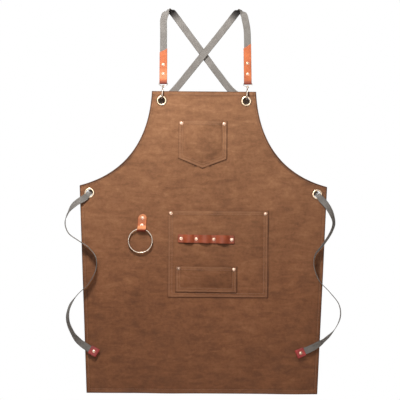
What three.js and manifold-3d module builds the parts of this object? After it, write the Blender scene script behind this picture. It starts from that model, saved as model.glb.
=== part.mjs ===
// A cross-back canvas work apron, hanging by its two shoulder straps as it hangs when it is put away.
// Millimetres, +Z up, front towards -Y. The canvas hangs in the plane Y = 0. The origin is the hang point:
// midway between the bights of the two straps, on the level where a hook or a rail holds them.

import * as THREE from 'three';
import { mergeVertices } from 'three/addons/utils/BufferGeometryUtils.js';
import Module from 'manifold-3d';

const wasm = await Module();
wasm.setup();

// ---------------------------------------------------------------- driving dimensions

const GAP = 0.3; // air between two pieces that touch
const MERGE_WITHIN = 1e-4;

// canvas panel: half-widths and levels of its corners
const CANVAS = 2.0;
const BIB_HALF = 143;
const BIB_TOP = -228.6;
const WAIST_HALF = 340;
const WAIST = -489;
const HEM_HALF = 317;
const HEM = -1059;
const ARMHOLE_PULLS = [150, -370, 220, -458]; // the two handles of each armhole's Bezier curve

// pockets: one layer of canvas, sewn flat along the sides and bottom, its mouth standing open by "puff"
const POCKET_WALL = 1.2;
const CHEST_POCKET = {
  left: -67.9, right: 62.7, top: -310.2, side: -412.8, point: -438.6, seam: 12, puff: 10, drop: 0.014,
};
const LARGE_POCKET = {
  left: -95.3, right: 177.7, top: -557.4, side: -793.6, point: -793.6, seam: 13, puff: 9, drop: 0,
};
const SMALL_POCKET = {
  left: -73.3, right: 92.0, top: -710.0, side: -779.8, point: -779.8, seam: 11, puff: 8, drop: 0.01,
};
const PUFF_SIDE = 0.45; // how steeply the mouth's opening falls to the side seams, and to the bottom seam
const PUFF_RISE = 3;
const SLOPE_ROOM = 0.7; // more air under a rivet's cap and plate where the canvas slopes
const POCKET_COLUMNS = 14;
const POCKET_ROWS = 8;

// leather tool strip, riveted to the large pocket at four places with a loop between each pair
const STRIP = { left: -69, right: 86.3, level: -634, height: 22.5, thick: 2, bow: 8, flat: 7, drop: 0.016 };
const STRIP_RIVETS = [-60, -18.5, 29.7, 78.6];
const CELLS_PER_LOOP = 8;

// rivets: domed cap, shank and back plate
const RIVET = { cap: 4.3, dome: 1.7, shank: 1.5, back: 4.0, plate: 1.1, sides: 10 };
const RIVET_HOLE = RIVET.shank + GAP;
const RIVET_IN = { x: 6.6, z: 6.3 }; // how far a pocket's rivets are in from its top corners
const DRILL = [-40, 10]; // levels of Y that a drill for a rivet passes through

// eyelets: flanged barrel, rolled over a washer behind the canvas
const EYELET = { bore: 9.5, barrel: 10.3, flange: 14, lip: 12.2, sides: 22 };
const BIB_EYELET = { x: 116.3, z: -254.4 };
const WAIST_EYELET = { x: 313.4, z: -509.5 };

// towel ring on its leather tab
const RING = { x: -172, level: -640, outer: 34.4, wire: 1.75, sides: 8, around: 44 };
const RING_TAB = {
  x: -166.7, width: 24, top: -566.8, leather: 1.8, fold: 4, slant: 0.07, closed: 8, rivets: [-577.3, -596.8],
};
const RING_DIP = 1.65; // how far the tab's fold is centred below the top of the ring's wire

// webbing and the folded leather tabs that join it to the snap hooks
const WEBBING = 1.6;
const WEBBING_WIDTH = 19;
const TAB = { width: 21, leather: 1.8, fold: 1.4 };
const TAB_TOPS = { left: [84.2, 94.8], right: [96.6, 109.1] }; // the slanted top's low and high corner
const TAB_RIVETS = { left: [25.5, 50.5], right: [26, 55.4] };
const TAB_LEAN = { left: 0, right: -0.021 };
const WEBBING_STARTS = 12; // above the fold, between the leather's two leaves
const STRAP_STEPS = 78;
const TIE_STEPS = 64;

// snap hooks, measured from the middle of their bib eyelet; each leans a little to the right
const HOOK_LEAN = 0.096;
const HOOK = { wire: 2.3, stem: 1.3, stemFoot: 32.6, head: 2.3, headAt: 41.6, headTop: 43.1 };
const COLLAR = { outer: 2.9, bottom: 35.8, top: 41.3 };
const LOOP_BAR = 1.1;
const LOOP_BAR_AT = 48.8;
const GATE = { y: 12.2, pivot: 27.6, barTop: 22.6, barEnd: 15.2, round: 2.1, half: 2.6, cheek: 0.95 };
const PIN = { radius: 0.8, half: 3.1 };
const TONGUE = [-1.35, -0.05];
const SPRING = { inner: 1.1, outer: 1.9, from: 0.35, to: 1.35 };

// folded leather ends of the ties
const TIE_END = { width: 24, length: 25, leather: 1.5, fold: 1.1, inside: 20 };

// ---------------------------------------------------------------- colours and finishes

const paint = (color, roughness, metalness = 0) =>
  new THREE.MeshStandardMaterial({ color, roughness, metalness });
const FINISH = {
  canvas: () => paint(0x8f6242, 0.85),
  webbing: () => paint(0x8f8b86, 0.9),
  tan: () => paint(0xd8733c, 0.5),
  brown: () => paint(0x8c3b22, 0.45),
  red: () => paint(0xa82428, 0.5),
  copper: () => paint(0xf0c8a8, 0.3, 1),
  brass: () => paint(0xe6d2ae, 0.3, 1),
  steel: () => paint(0xcfcac0, 0.25, 1),
  spring: () => paint(0x8a8a8c, 0.4, 1),
};

// ---------------------------------------------------------------- solids

function toSolid(geometry) {
  const bare = geometry.clone();
  bare.deleteAttribute('normal');
  bare.deleteAttribute('uv');
  const merged = mergeVertices(bare, MERGE_WITHIN);
  return new wasm.Manifold(new wasm.Mesh({
    numProp: 3,
    vertProperties: Float32Array.from(merged.attributes.position.array),
    triVerts: Uint32Array.from(merged.index.array),
  }));
}

function toGeometry(solid) {
  const mesh = solid.getMesh();
  const geometry = new THREE.BufferGeometry();
  geometry.setAttribute('position', new THREE.BufferAttribute(mesh.vertProperties, 3));
  geometry.setIndex(new THREE.BufferAttribute(mesh.triVerts, 1));
  geometry.computeVertexNormals();
  return geometry;
}

const cut = (body, ...tools) =>
  toGeometry(tools.reduce((left, tool) => left.subtract(toSolid(tool)), toSolid(body)));
const join = (first, ...rest) =>
  toGeometry(rest.reduce((sum, next) => sum.add(toSolid(next)), toSolid(first)));

// A shape drawn in X and Z, as a slab between two levels of Y.
function slabY(shape, front, back, options = {}) {
  const slab = new THREE.ExtrudeGeometry(shape, { depth: back - front, bevelEnabled: false, ...options });
  return slab.rotateX(Math.PI / 2).translate(0, back, 0);
}

// A shape drawn in Y and Z, as a slab between two levels of X.
function slabX(shape, from, to) {
  const slab = new THREE.ExtrudeGeometry(shape, { depth: to - from, bevelEnabled: false, curveSegments: 5 });
  return slab.applyMatrix4(new THREE.Matrix4().set(0, 0, 1, from, 1, 0, 0, 0, 0, 1, 0, 0, 0, 0, 0, 1));
}

const rodY = (radius, from, to, x, z, sides = RIVET.sides) =>
  new THREE.CylinderGeometry(radius, radius, to - from, sides).translate(x, (from + to) / 2, z);

const rodX = (radius, from, to, y, z, sides = 12) =>
  new THREE.CylinderGeometry(radius, radius, to - from, sides).rotateZ(Math.PI / 2).translate((from + to) / 2, y, z);

const rodZ = (radius, from, to, sides = 12) =>
  new THREE.CylinderGeometry(radius, radius, to - from, sides).rotateX(Math.PI / 2).translate(0, 0, (from + to) / 2);

// Two half-circles joined by straight sides, between two points.
function stadium(y0, z0, y1, z1, radius) {
  const angle = Math.atan2(z1 - z0, y1 - y0);
  const shape = new THREE.Shape();
  shape.absarc(y0, z0, radius, angle + Math.PI / 2, angle + Math.PI * 1.5, false);
  shape.absarc(y1, z1, radius, angle - Math.PI / 2, angle + Math.PI / 2, false);
  return shape;
}

// A strip folded into a U in Y and Z: round at the bottom, two leaves going up.
function foldedStrip(inner, thick, front, back) {
  const outer = inner + thick;
  const shape = new THREE.Shape();
  shape.moveTo(-outer, front);
  shape.lineTo(-outer, 0);
  shape.absarc(0, 0, outer, Math.PI, 2 * Math.PI, false);
  shape.lineTo(outer, back);
  shape.lineTo(inner, back);
  shape.lineTo(inner, 0);
  shape.absarc(0, 0, inner, 0, Math.PI, true);
  shape.lineTo(-inner, front);
  return shape;
}

// A box of columns by rows of cells whose corners are moved to place(across, up, side): across and up go
// from 0 to 1, and side is -0.5 on the front and 0.5 on the back.
function bentBox(columns, rows, place) {
  const box = new THREE.BoxGeometry(1, 1, 1, columns, 1, rows);
  const corners = box.attributes.position;
  for (let i = 0; i < corners.count; i++) {
    const across = Math.round((corners.getX(i) + 0.5) * columns) / columns;
    const up = Math.round((corners.getZ(i) + 0.5) * rows) / rows;
    const to = place(across, up, corners.getY(i));
    corners.setXYZ(i, to.x, to.y, to.z);
  }
  box.computeVertexNormals();
  return box;
}

// ---------------------------------------------------------------- canvas

const roundHole = (x, z, radius, sides) => new THREE.Path(
  Array.from({ length: sides }, (_, i) => {
    const angle = (2 * Math.PI * i) / sides;
    return new THREE.Vector2(x + radius * Math.cos(angle), z + radius * Math.sin(angle));
  }),
);

function panel() {
  const [x1, z1, x2, z2] = ARMHOLE_PULLS;
  const shape = new THREE.Shape();
  shape.moveTo(-BIB_HALF, BIB_TOP);
  shape.lineTo(BIB_HALF, BIB_TOP);
  shape.bezierCurveTo(x1, z1, x2, z2, WAIST_HALF, WAIST);
  shape.lineTo(HEM_HALF, HEM);
  shape.lineTo(-HEM_HALF, HEM);
  shape.lineTo(-WAIST_HALF, WAIST);
  shape.bezierCurveTo(-x2, z2, -x1, z1, -BIB_HALF, BIB_TOP);
  for (const { x, z } of [BIB_EYELET, WAIST_EYELET]) {
    for (const side of [-1, 1]) shape.holes.push(roundHole(side * x, z, EYELET.barrel + GAP, EYELET.sides));
  }
  const riveted = [...pocketRivets(CHEST_POCKET), ...pocketRivets(LARGE_POCKET)];
  for (const [x, z] of [...riveted, ...RING_TAB.rivets.map((level) => [ringTabX(level), level])]) {
    shape.holes.push(roundHole(x, z, RIVET_HOLE, RIVET.sides));
  }
  return slabY(shape, -CANVAS / 2, CANVAS / 2, { curveSegments: 14 });
}

const panelFront = () => -CANVAS / 2;

function pocketRivets(pocket) {
  const middle = (pocket.left + pocket.right) / 2;
  return [pocket.left + RIVET_IN.x, pocket.right - RIVET_IN.x]
    .map((x) => [x, pocket.top - RIVET_IN.z - pocket.drop * (x - middle)]);
}

// How far a pocket's canvas stands off what it is sewn to, at a place inside its seams.
function puffAt(pocket, x, z) {
  const low = pocketFloor(pocket, x) + pocket.seam;
  const across = (x - pocket.left - pocket.seam) / (pocket.right - pocket.left - 2 * pocket.seam);
  const up = THREE.MathUtils.clamp((z - low) / (pocket.top - low), 0, 1);
  const full = Math.sin(Math.PI * THREE.MathUtils.clamp(across, 0, 1)) ** PUFF_SIDE;
  return pocket.puff * full * (1 - (1 - up) ** PUFF_RISE);
}

function pocketFloor(pocket, x) {
  const middle = (pocket.left + pocket.right) / 2;
  const off = Math.abs(x - middle) / (pocket.right - middle);
  return THREE.MathUtils.lerp(pocket.point, pocket.side, off);
}

// Steps from low to high whose first and last cells, when asked for, are exactly one seam wide.
function stepsWithSeams(t, cells, low, high, seamLow, seamHigh) {
  const first = seamLow ? 1 / cells : 0;
  const last = seamHigh ? 1 - 1 / cells : 1;
  if (t < first - 1e-6) return low + (seamLow * t) / first;
  if (t > last + 1e-6) return high - (seamHigh * (1 - t)) / (1 - last);
  return THREE.MathUtils.mapLinear(t, first, last, low + seamLow, high - seamHigh);
}

function pocket(shape, backing) {
  const middle = (shape.left + shape.right) / 2;
  return bentBox(POCKET_COLUMNS, POCKET_ROWS, (across, up, side) => {
    const x = stepsWithSeams(across, POCKET_COLUMNS, shape.left, shape.right, shape.seam, shape.seam);
    const z = stepsWithSeams(up, POCKET_ROWS, pocketFloor(shape, x), shape.top, shape.seam, 0);
    const turned = z - shape.drop * (x - middle);
    const back = backing(x, turned) - GAP - puffAt(shape, x, z);
    return new THREE.Vector3(x, side < 0 ? back - POCKET_WALL : back, turned);
  });
}

const largeFront = (x, z) => panelFront() - GAP - puffAt(LARGE_POCKET, x, z) - POCKET_WALL;

// The tool strip: flat under each rivet, and bowed out between them to make the loops.
function stripBow(x) {
  for (let i = 1; i < STRIP_RIVETS.length; i++) {
    const from = STRIP_RIVETS[i - 1] + STRIP.flat;
    const to = STRIP_RIVETS[i] - STRIP.flat;
    if (x > from && x < to) return STRIP.bow * Math.sin((Math.PI * (x - from)) / (to - from)) ** 0.7;
  }
  return 0;
}

function stripStations() {
  const stations = [STRIP.left];
  STRIP_RIVETS.forEach((x, i) => {
    if (i > 0) {
      const from = STRIP_RIVETS[i - 1] + STRIP.flat;
      const to = x - STRIP.flat;
      for (let k = 0; k <= CELLS_PER_LOOP; k++) {
        stations.push(THREE.MathUtils.lerp(from, to, k / CELLS_PER_LOOP));
      }
    }
  });
  stations.push(STRIP.right);
  return stations;
}

const stripLevel = (x) => STRIP.level - STRIP.drop * x;

function toolStrip() {
  const stations = stripStations();
  const cells = stations.length - 1;
  const strip = bentBox(cells, 1, (across, up, side) => {
    const x = stations[Math.round(across * cells)];
    const z = stripLevel(x) + (up - 0.5) * STRIP.height;
    const back = largeFront(x, z) - GAP - stripBow(x);
    return new THREE.Vector3(x, side < 0 ? back - STRIP.thick : back, z);
  });
  return cut(strip, ...STRIP_RIVETS.map((x) => rodY(RIVET_HOLE, ...DRILL, x, stripLevel(x))));
}

// ---------------------------------------------------------------- rivets and eyelets

// A rivet along Y that clamps from front to back; its cap is on the front.
function rivet(front, back) {
  const { cap, dome, shank, back: plate, plate: thick, sides } = RIVET;
  const face = front - GAP;
  const rear = back + GAP;
  const profile = [
    [0, rear + thick], [plate, rear + thick], [plate, rear], [shank, rear], [shank, face],
    [cap, face], [cap * 0.8, face - dome * 0.8], [0, face - dome],
  ];
  return new THREE.LatheGeometry(profile.map(([r, y]) => new THREE.Vector2(r, y)).reverse(), sides);
}

function eyelet() {
  const { bore, barrel, flange, lip } = EYELET;
  const face = CANVAS / 2;
  const profile = [
    [bore, -face - 0.9], [bore + 1.1, -face - 2.0], [flange - 1.2, -face - 1.8],
    [flange, -face - GAP], [barrel, -face - GAP], [barrel, face + 1.9], [lip, face + 1.9],
    [bore + 0.8, face + 2.7], [bore, face + 2.1], [bore, -face - 0.9],
  ];
  return new THREE.LatheGeometry(profile.map(([r, y]) => new THREE.Vector2(r, y)), EYELET.sides);
}

function washer() {
  const { barrel, flange } = EYELET;
  const face = CANVAS / 2 + GAP;
  const inner = barrel + GAP;
  const profile = [[inner, face], [flange, face], [flange, face + 0.8], [inner, face + 1.3], [inner, face]];
  return new THREE.LatheGeometry(profile.map(([r, y]) => new THREE.Vector2(r, y)), EYELET.sides);
}

// ---------------------------------------------------------------- towel ring

const RING_RADIUS = RING.outer - RING.wire;
const RING_Y = -(CANVAS / 2 + GAP + RING_TAB.fold + RING_TAB.leather);
const RING_FOLD = RING.level + RING_RADIUS - RING_DIP; // the level the ring turns about
const ringTabX = (level) => RING_TAB.x + RING_TAB.slant * (level - RING_TAB.rivets[0]);

function towelRing() {
  return new THREE.TorusGeometry(RING_RADIUS, RING.wire, RING.sides, RING.around).rotateX(Math.PI / 2);
}

// The leather goes round the ring and up again behind itself, against the canvas; its top is rounded. Above
// the fold the front leaf closes on the back one. The tab slants sideways, with its fold level.
function ringTab() {
  const { width, top, leather, fold, slant, closed } = RING_TAB;
  const outer = fold + leather;
  const height = top - RING_FOLD;
  const front = outer - 2 * leather - GAP;
  const lay = new THREE.Shape();
  lay.moveTo(front, height);
  lay.lineTo(front, closed);
  lay.absarc(0, 0, outer, (Math.PI * 5) / 6, 2 * Math.PI, false);
  lay.lineTo(outer, height * 0.8);
  lay.lineTo(fold, height * 0.8);
  lay.absarc(0, 0, fold, 0, (Math.PI * 5) / 6, true);
  lay.lineTo(front + leather, closed - GAP);
  lay.lineTo(front + leather, height);
  const strip = slabX(lay, -width / 2, width / 2);
  const rounded = new THREE.Shape();
  rounded.moveTo(-width, -width);
  rounded.lineTo(width, -width);
  rounded.lineTo(width / 2, height - width / 2);
  rounded.absarc(0, height - width / 2, width / 2, 0, Math.PI, false);
  const tab = toGeometry(toSolid(strip).intersect(toSolid(slabY(rounded, -2 * outer, 2 * outer))));
  tab.applyMatrix4(new THREE.Matrix4().makeShear(0, 0, 0, 0, slant, 0));
  tab.translate(ringTabX(RING_FOLD), RING_Y, RING_FOLD);
  return cut(tab, ...RING_TAB.rivets.map((level) => rodY(RIVET_HOLE, ...DRILL, ringTabX(level), level)));
}

// ---------------------------------------------------------------- webbing

// Webbing along hand-placed stations [x, y, z, turn, width]. A turn of 0 or 180 degrees lays the webbing
// flat to the front, and 90 shows its edge.
function webbing(stations, steps) {
  const places = stations.map(([x, y, z]) => new THREE.Vector3(x, y, z));
  const route = new THREE.CatmullRomCurve3(places, false, 'centripetal');
  const frame = (t) => {
    const place = t * (stations.length - 1);
    const i = Math.min(Math.floor(place), stations.length - 2);
    const s = THREE.MathUtils.smoothstep(place - i, 0, 1);
    const turn = THREE.MathUtils.degToRad(THREE.MathUtils.lerp(stations[i][3], stations[i + 1][3], s));
    const [from, to] = [stations[i][4] ?? WEBBING_WIDTH, stations[i + 1][4] ?? WEBBING_WIDTH];
    const width = THREE.MathUtils.lerp(from, to, s);
    const along = route.getTangent(t);
    const level = new THREE.Vector3(-along.z, 0, along.x).normalize();
    const other = new THREE.Vector3().crossVectors(along, level);
    const wide = level.multiplyScalar(Math.cos(turn)).addScaledVector(other, Math.sin(turn));
    return { centre: route.getPoint(t), along, wide, width, face: new THREE.Vector3().crossVectors(along, wide) };
  };
  const geometry = bentBox(1, steps, (across, up, side) => {
    const { centre, wide, width, face } = frame(up);
    return centre.addScaledVector(wide, (across - 0.5) * width).addScaledVector(face, side * WEBBING);
  });
  return { geometry, end: frame(1) };
}

// Where each strap goes after its bight: down across the other strap, behind the canvas and over the back of the
// snap hook there, then slack inside the armhole's edge to the waist eyelet. The right strap crosses in front.
const STRAP_ROUTES = {
  left: [
    [-38, 19.5, -77], [-1.5, 18.5, -125.8], [40, 17.8, -181], [75, 17.4, -224], [101, 17.4, -243.5], [120, 17, -258.5],
    [130, 12, -291], [138, 6.4, -334], [166, 5.2, -385],
  ],
  right: [
    [38, 18, -75.2], [-1.5, 12.5, -125.4], [-41, 15, -175], [-83, 17.4, -226], [-103, 17.4, -244.5], [-121, 17, -258.5],
    [-130, 12, -291], [-138, 6.4, -334], [-166, 5.2, -385],
  ],
};

// From between the leaves of the leather tab, up and over the bight and along its route to the middle of the waist
// eyelet on the other side. "side" is -1 for the strap that starts on the left.
function shoulderStrap(hand, side, tab) {
  const across = -side;
  const turn = (angle) => (side < 0 ? angle : 360 - angle);
  const tabPlace = (up) => [tab(up).x, 0, tab(up).z, turn(180)];
  return webbing([
    tabPlace(WEBBING_STARTS),
    tabPlace(60),
    tabPlace(146),
    [side * 112.6, 0.8, -34, turn(180)],
    [side * 108.6, 2.4, -18, turn(172)],
    [side * 98.5, 10.5, -2.8, turn(90)],
    [side * 88, 19.5, -10.5, turn(12)],
    [side * 75, 21, -27, turn(0)],
    ...STRAP_ROUTES[hand].map((place) => [...place, turn(0)]),
    [across * 203, 5.2, -432, turn(0)],
    [across * 250, 5.2, -471, turn(0)],
    [across * 286, 5.2, -492.5, turn(0)],
    [across * 299.8, 5.4, -500.3, turn(0), 17],
    [across * 307.6, 5.2, -505.4, turn(0), 14.5],
    [across * 312.9, 0.7, -509.1, turn(0), 14],
  ], STRAP_STEPS).geometry;
}

// Each tie from the middle of its waist eyelet to its leather end: out past the edge of the canvas, back over it
// in a loose S that stands on edge, out again, and in to the canvas with its flat side to the front.
const TIES = {
  left: [
    [-313.8, -0.7, -509.9, 0, 14], [-317.9, -5.2, -514.9, 0, 14.5], [-325, -5.4, -522.6, 0, 18], [-352, -8, -540, 40],
    [-371, -12, -566, 78], [-378.5, -13, -592, 90], [-369, -14, -620, 90], [-343, -15, -639.5, 90],
    [-313, -15, -659.5, 90], [-293.5, -15, -686, 90], [-293, -15, -718, 90], [-312, -15, -757.5, 90],
    [-344, -15, -790, 88], [-365, -13, -823, 70], [-369.5, -12, -858, 58], [-356, -11, -894, 50],
    [-339, -9, -916.5, 22], [-320, -8, -931, 0], [-306, -8, -939.5, 0], [-291, -8, -948, 0],
  ],
  right: [
    [313.8, -0.7, -509.9, 0, 14], [317.9, -5.2, -514.9, 0, 14.5], [324.5, -5.4, -522.6, 0, 18], [345, -8.5, -548, -36],
    [358.5, -11, -586, -62], [352, -12, -611, -66], [329, -13, -648, -70], [308, -14, -676, -78],
    [305, -15, -706, -88], [319, -15, -745, -90], [350, -15, -779, -90], [374, -15, -811, -90],
    [378, -15, -843, -90], [364, -14, -877, -84], [338, -11, -906, -58], [312, -9, -925, -20],
    [293, -8, -935, 0], [279, -8, -941, 0], [263, -8, -948, 0],
  ],
};

// ---------------------------------------------------------------- leather on the straps

// The tab that holds a snap hook, about the centre of its fold, with a slanted top.
function strapTab(tops) {
  const [low, high] = tops;
  const strip = slabX(foldedStrip(TAB.fold, TAB.leather, high, high), -TAB.width / 2, TAB.width / 2);
  const waste = new THREE.Shape();
  const rise = (high - low) / TAB.width;
  waste.moveTo(-TAB.width, low - rise * (TAB.width / 2));
  waste.lineTo(TAB.width, high + rise * (TAB.width / 2));
  waste.lineTo(-TAB.width, high + TAB.width);
  return cut(strip, slabY(waste, -10, 10));
}

// The folded leather on the end of a tie, in the frame of the webbing's end.
function tieEnd() {
  const { width, length, leather, fold, inside } = TIE_END;
  const lay = foldedStrip(fold, leather, length - fold - leather, length - fold - leather);
  return slabX(lay, -width / 2, width / 2).rotateX(Math.PI).translate(0, 0, length - fold - leather - inside);
}

// ---------------------------------------------------------------- snap hooks

// One bar bent in the plane of Y and Z: from the gate's pivot over the stem, down in front of the canvas,
// through the eyelet and up to the nose behind it.
const HOOK_ROUTE = [
  [10.2, 30.4], [5, 32.2], [0, 32.6], [-5, 31.2], [-8.3, 27], [-8.8, 20], [-8.8, 12.5],
  [-6.9, 7.6], [-3, 5.8], [3, 5.8], [8.6, 6.2], [11.6, 8.6], [12.2, 12.2],
];

function ringSection(radius, sides) {
  return new THREE.Shape(roundHole(0, 0, radius, sides).getPoints());
}

function hookBody() {
  const route = new THREE.CatmullRomCurve3(HOOK_ROUTE.map(([y, z]) => new THREE.Vector3(0, y, z)));
  const bar = new THREE.ExtrudeGeometry(ringSection(HOOK.wire, 8), { steps: 26, extrudePath: route });
  const room = rodX(GATE.round + 0.5, -5, 5, GATE.y, GATE.pivot);
  const tongue = slabX(stadium(9.4, 30.6, GATE.y, GATE.pivot, GATE.round), ...TONGUE);
  const stem = rodZ(HOOK.stem, HOOK.stemFoot, HOOK.headTop - 0.2, 12);
  const head = rodZ(HOOK.head, HOOK.headAt, HOOK.headTop, 12);
  return cut(join(cut(bar, room), tongue, stem, head), rodX(PIN.radius + GAP, -5, 5, GATE.y, GATE.pivot));
}

// A flat cast loop for the leather, joined to the collar in which the hook's stem turns. The loop lies along
// the leather tab although the collar leans with the hook.
function hookBase(tabLean) {
  const outline = [[-12.6, 44.2], [-4.6, 39.4], [4.6, 39.4], [12.6, 44.2], [12.6, 49.4], [-12.6, 49.4]];
  const eye = [[-11.4, 44.6], [-3.6, 40.8], [3.6, 40.8], [11.4, 44.6], [11.4, 48.2], [-11.4, 48.2]];
  const rim = new THREE.Shape(outline.map(([x, z]) => new THREE.Vector2(x, z)));
  rim.holes.push(new THREE.Path(eye.map(([x, z]) => new THREE.Vector2(x, z)).reverse()));
  const bevel = { bevelEnabled: true, bevelSize: 0.5, bevelThickness: 0.5, bevelSegments: 1 };
  const loop = slabY(rim, 0.5 - LOOP_BAR, LOOP_BAR - 0.5, bevel);
  loop.translate(0, 0, -COLLAR.top).rotateY(tabLean - HOOK_LEAN).translate(0, 0, COLLAR.top);
  const base = join(loop, rodZ(COLLAR.outer, COLLAR.bottom, COLLAR.top - 0.05));
  return cut(base, rodZ(HOOK.stem + GAP, 30, 60, 12), rodZ(HOOK.head + GAP, COLLAR.top, 44, 12));
}

function hookGate() {
  const { y, pivot, barTop, barEnd, round, half, cheek } = GATE;
  const bar = slabX(stadium(y, barTop, y, barEnd, round), -half, half);
  const side = stadium(y, pivot, y, barTop, round);
  const cheeks = [slabX(side, -half, cheek - half), slabX(side, half - cheek, half)];
  return cut(join(bar, ...cheeks), rodX(PIN.radius + GAP, -5, 5, y, pivot));
}

function gateSpring() {
  const { inner, outer, from, to } = SPRING;
  const profile = [[inner, from], [outer, from], [outer, to], [inner, to], [inner, from]];
  const coil = new THREE.LatheGeometry(profile.map(([r, y]) => new THREE.Vector2(r, y)), 12);
  return coil.rotateZ(-Math.PI / 2).translate(0, GATE.y, GATE.pivot);
}

// ---------------------------------------------------------------- assembly

const apron = new THREE.Group();

function add(parent, name, geometry, finish) {
  const mesh = new THREE.Mesh(geometry, finish());
  mesh.name = name;
  parent.add(mesh);
  return mesh;
}

function addRivets(parent, name, places, front, back) {
  places.forEach(([x, z], i) => {
    add(parent, `${name}_rivet_${i + 1}`, rivet(front(x, z), back(x, z)), FINISH.copper).position.set(x, 0, z);
  });
}

const canvasBack = () => CANVAS / 2;
const largeBack = (x, z) => largeFront(x, z) + POCKET_WALL;

function addCanvas() {
  add(apron, 'apron_panel', panel(), FINISH.canvas);
  const sewn = [
    ['chest_pocket', CHEST_POCKET, panelFront, canvasBack],
    ['large_pocket', LARGE_POCKET, panelFront, canvasBack],
    ['small_pocket', SMALL_POCKET, largeFront, largeBack],
  ];
  const holes = Object.fromEntries(sewn.map(([name, shape]) => [name, pocketRivets(shape)]));
  holes.large_pocket = [...holes.large_pocket, ...holes.small_pocket, ...STRIP_RIVETS.map((x) => [x, stripLevel(x)])];
  for (const [name, shape, backing, rear] of sewn) {
    const drills = holes[name].map(([x, z]) => rodY(RIVET_HOLE, ...DRILL, x, z));
    add(apron, name, cut(pocket(shape, backing), ...drills), FINISH.canvas);
    const slope = backing === largeFront ? SLOPE_ROOM : 0;
    const front = (x, z) => backing(x, z) - GAP - POCKET_WALL - slope;
    addRivets(apron, name, pocketRivets(shape), front, (x, z) => rear(x, z) + slope);
  }
  add(apron, 'tool_strip', toolStrip(), FINISH.brown);
  const stripFront = (x, z) => largeFront(x, z) - GAP - STRIP.thick;
  const stripBack = (x, z) => largeBack(x, z) + SLOPE_ROOM;
  addRivets(apron, 'tool_strip', STRIP_RIVETS.map((x) => [x, stripLevel(x)]), stripFront, stripBack);
}

function addEyelets() {
  for (const [place, { x, z }] of Object.entries({ bib: BIB_EYELET, waist: WAIST_EYELET })) {
    for (const [hand, side] of [['left', -1], ['right', 1]]) {
      add(apron, `${hand}_${place}_eyelet`, eyelet(), FINISH.brass).position.set(side * x, 0, z);
      add(apron, `${hand}_${place}_washer`, washer(), FINISH.brass).position.set(side * x, 0, z);
    }
  }
}

function addTowelRing() {
  add(apron, 'ring_tab', ringTab(), FINISH.tan);
  const places = RING_TAB.rivets.map((level) => [ringTabX(level), level]);
  const front = () => panelFront() - 2 * GAP - 2 * RING_TAB.leather;
  addRivets(apron, 'ring_tab', places, front, canvasBack);
  add(apron, 'towel_ring', towelRing(), FINISH.steel).position.set(RING.x, RING_Y, RING.level);
}

function addStrap(hand, side) {
  const hook = new THREE.Group();
  hook.position.set(side * BIB_EYELET.x, 0, BIB_EYELET.z);
  hook.rotation.y = HOOK_LEAN;
  apron.add(hook);
  add(hook, `${hand}_hook_base`, hookBase(TAB_LEAN[hand]), FINISH.steel);
  add(hook, `${hand}_hook_body`, hookBody(), FINISH.steel);
  add(hook, `${hand}_hook_gate`, hookGate(), FINISH.steel);
  add(hook, `${hand}_gate_pin`, rodX(PIN.radius, -PIN.half, PIN.half, GATE.y, GATE.pivot), FINISH.steel);
  add(hook, `${hand}_gate_spring`, gateSpring(), FINISH.spring);

  const tab = new THREE.Group();
  const pivot = new THREE.Vector3(0, 0, COLLAR.top).applyEuler(hook.rotation).add(hook.position);
  tab.position.set(pivot.x, 0, pivot.z + LOOP_BAR_AT - COLLAR.top);
  tab.rotation.y = TAB_LEAN[hand];
  apron.add(tab);
  const onTab = (up) => new THREE.Vector3(0, 0, up).applyEuler(tab.rotation).add(tab.position);
  const drill = (geometry, place) => cut(geometry, ...TAB_RIVETS[hand].map((up) => place(up)));
  const leaf = TAB.fold + TAB.leather;
  const leather = drill(strapTab(TAB_TOPS[hand]), (up) => rodY(RIVET_HOLE, ...DRILL, 0, up));
  add(tab, `${hand}_strap_tab`, leather, FINISH.tan);
  addRivets(tab, `${hand}_strap_tab`, TAB_RIVETS[hand].map((up) => [0, up]), () => -leaf, () => leaf);

  const onStrap = (up) => rodY(RIVET_HOLE, -10, 10, onTab(up).x, onTab(up).z);
  add(apron, `${hand}_shoulder_strap`, drill(shoulderStrap(hand, side, onTab), onStrap), FINISH.webbing);
}

function addTie(hand) {
  const tie = webbing(TIES[hand], TIE_STEPS);
  const { centre, along, wide, face } = tie.end;
  const place = new THREE.Matrix4().makeBasis(wide, face, along).setPosition(centre);
  const midway = TIE_END.inside - TIE_END.length / 2;
  const hole = new THREE.Vector3(0, 0, -midway).applyMatrix4(place);
  const drill = rodY(RIVET_HOLE, -10, 10, 0, -midway).applyMatrix4(place);
  add(apron, `${hand}_tie`, cut(tie.geometry, drill), FINISH.webbing);
  add(apron, `${hand}_tie_end`, cut(tieEnd().applyMatrix4(place), drill), FINISH.red);
  const leaf = TIE_END.fold + TIE_END.leather;
  const stud = new THREE.Matrix4().extractRotation(place).setPosition(hole);
  const shown = hand === 'left' ? 0 : Math.PI; // the left tie shows its rivet's back, the right one the cap
  add(apron, `${hand}_tie_rivet`, rivet(-leaf, leaf).rotateZ(shown).applyMatrix4(stud), FINISH.copper);
}

addCanvas();
addEyelets();
addTowelRing();
for (const [hand, side] of [['left', -1], ['right', 1]]) {
  addStrap(hand, side);
  addTie(hand);
}

export default apron;
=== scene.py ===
"""Looks for a cross-back canvas work apron that hangs by its two shoulder straps.

Geometry is worked out in millimetres, in the frame of the CAD part, and turned into metres as each mesh is made.
"""

import math
import bmesh
import bpy
import numpy as np
from mathutils import Matrix, Vector


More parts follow.
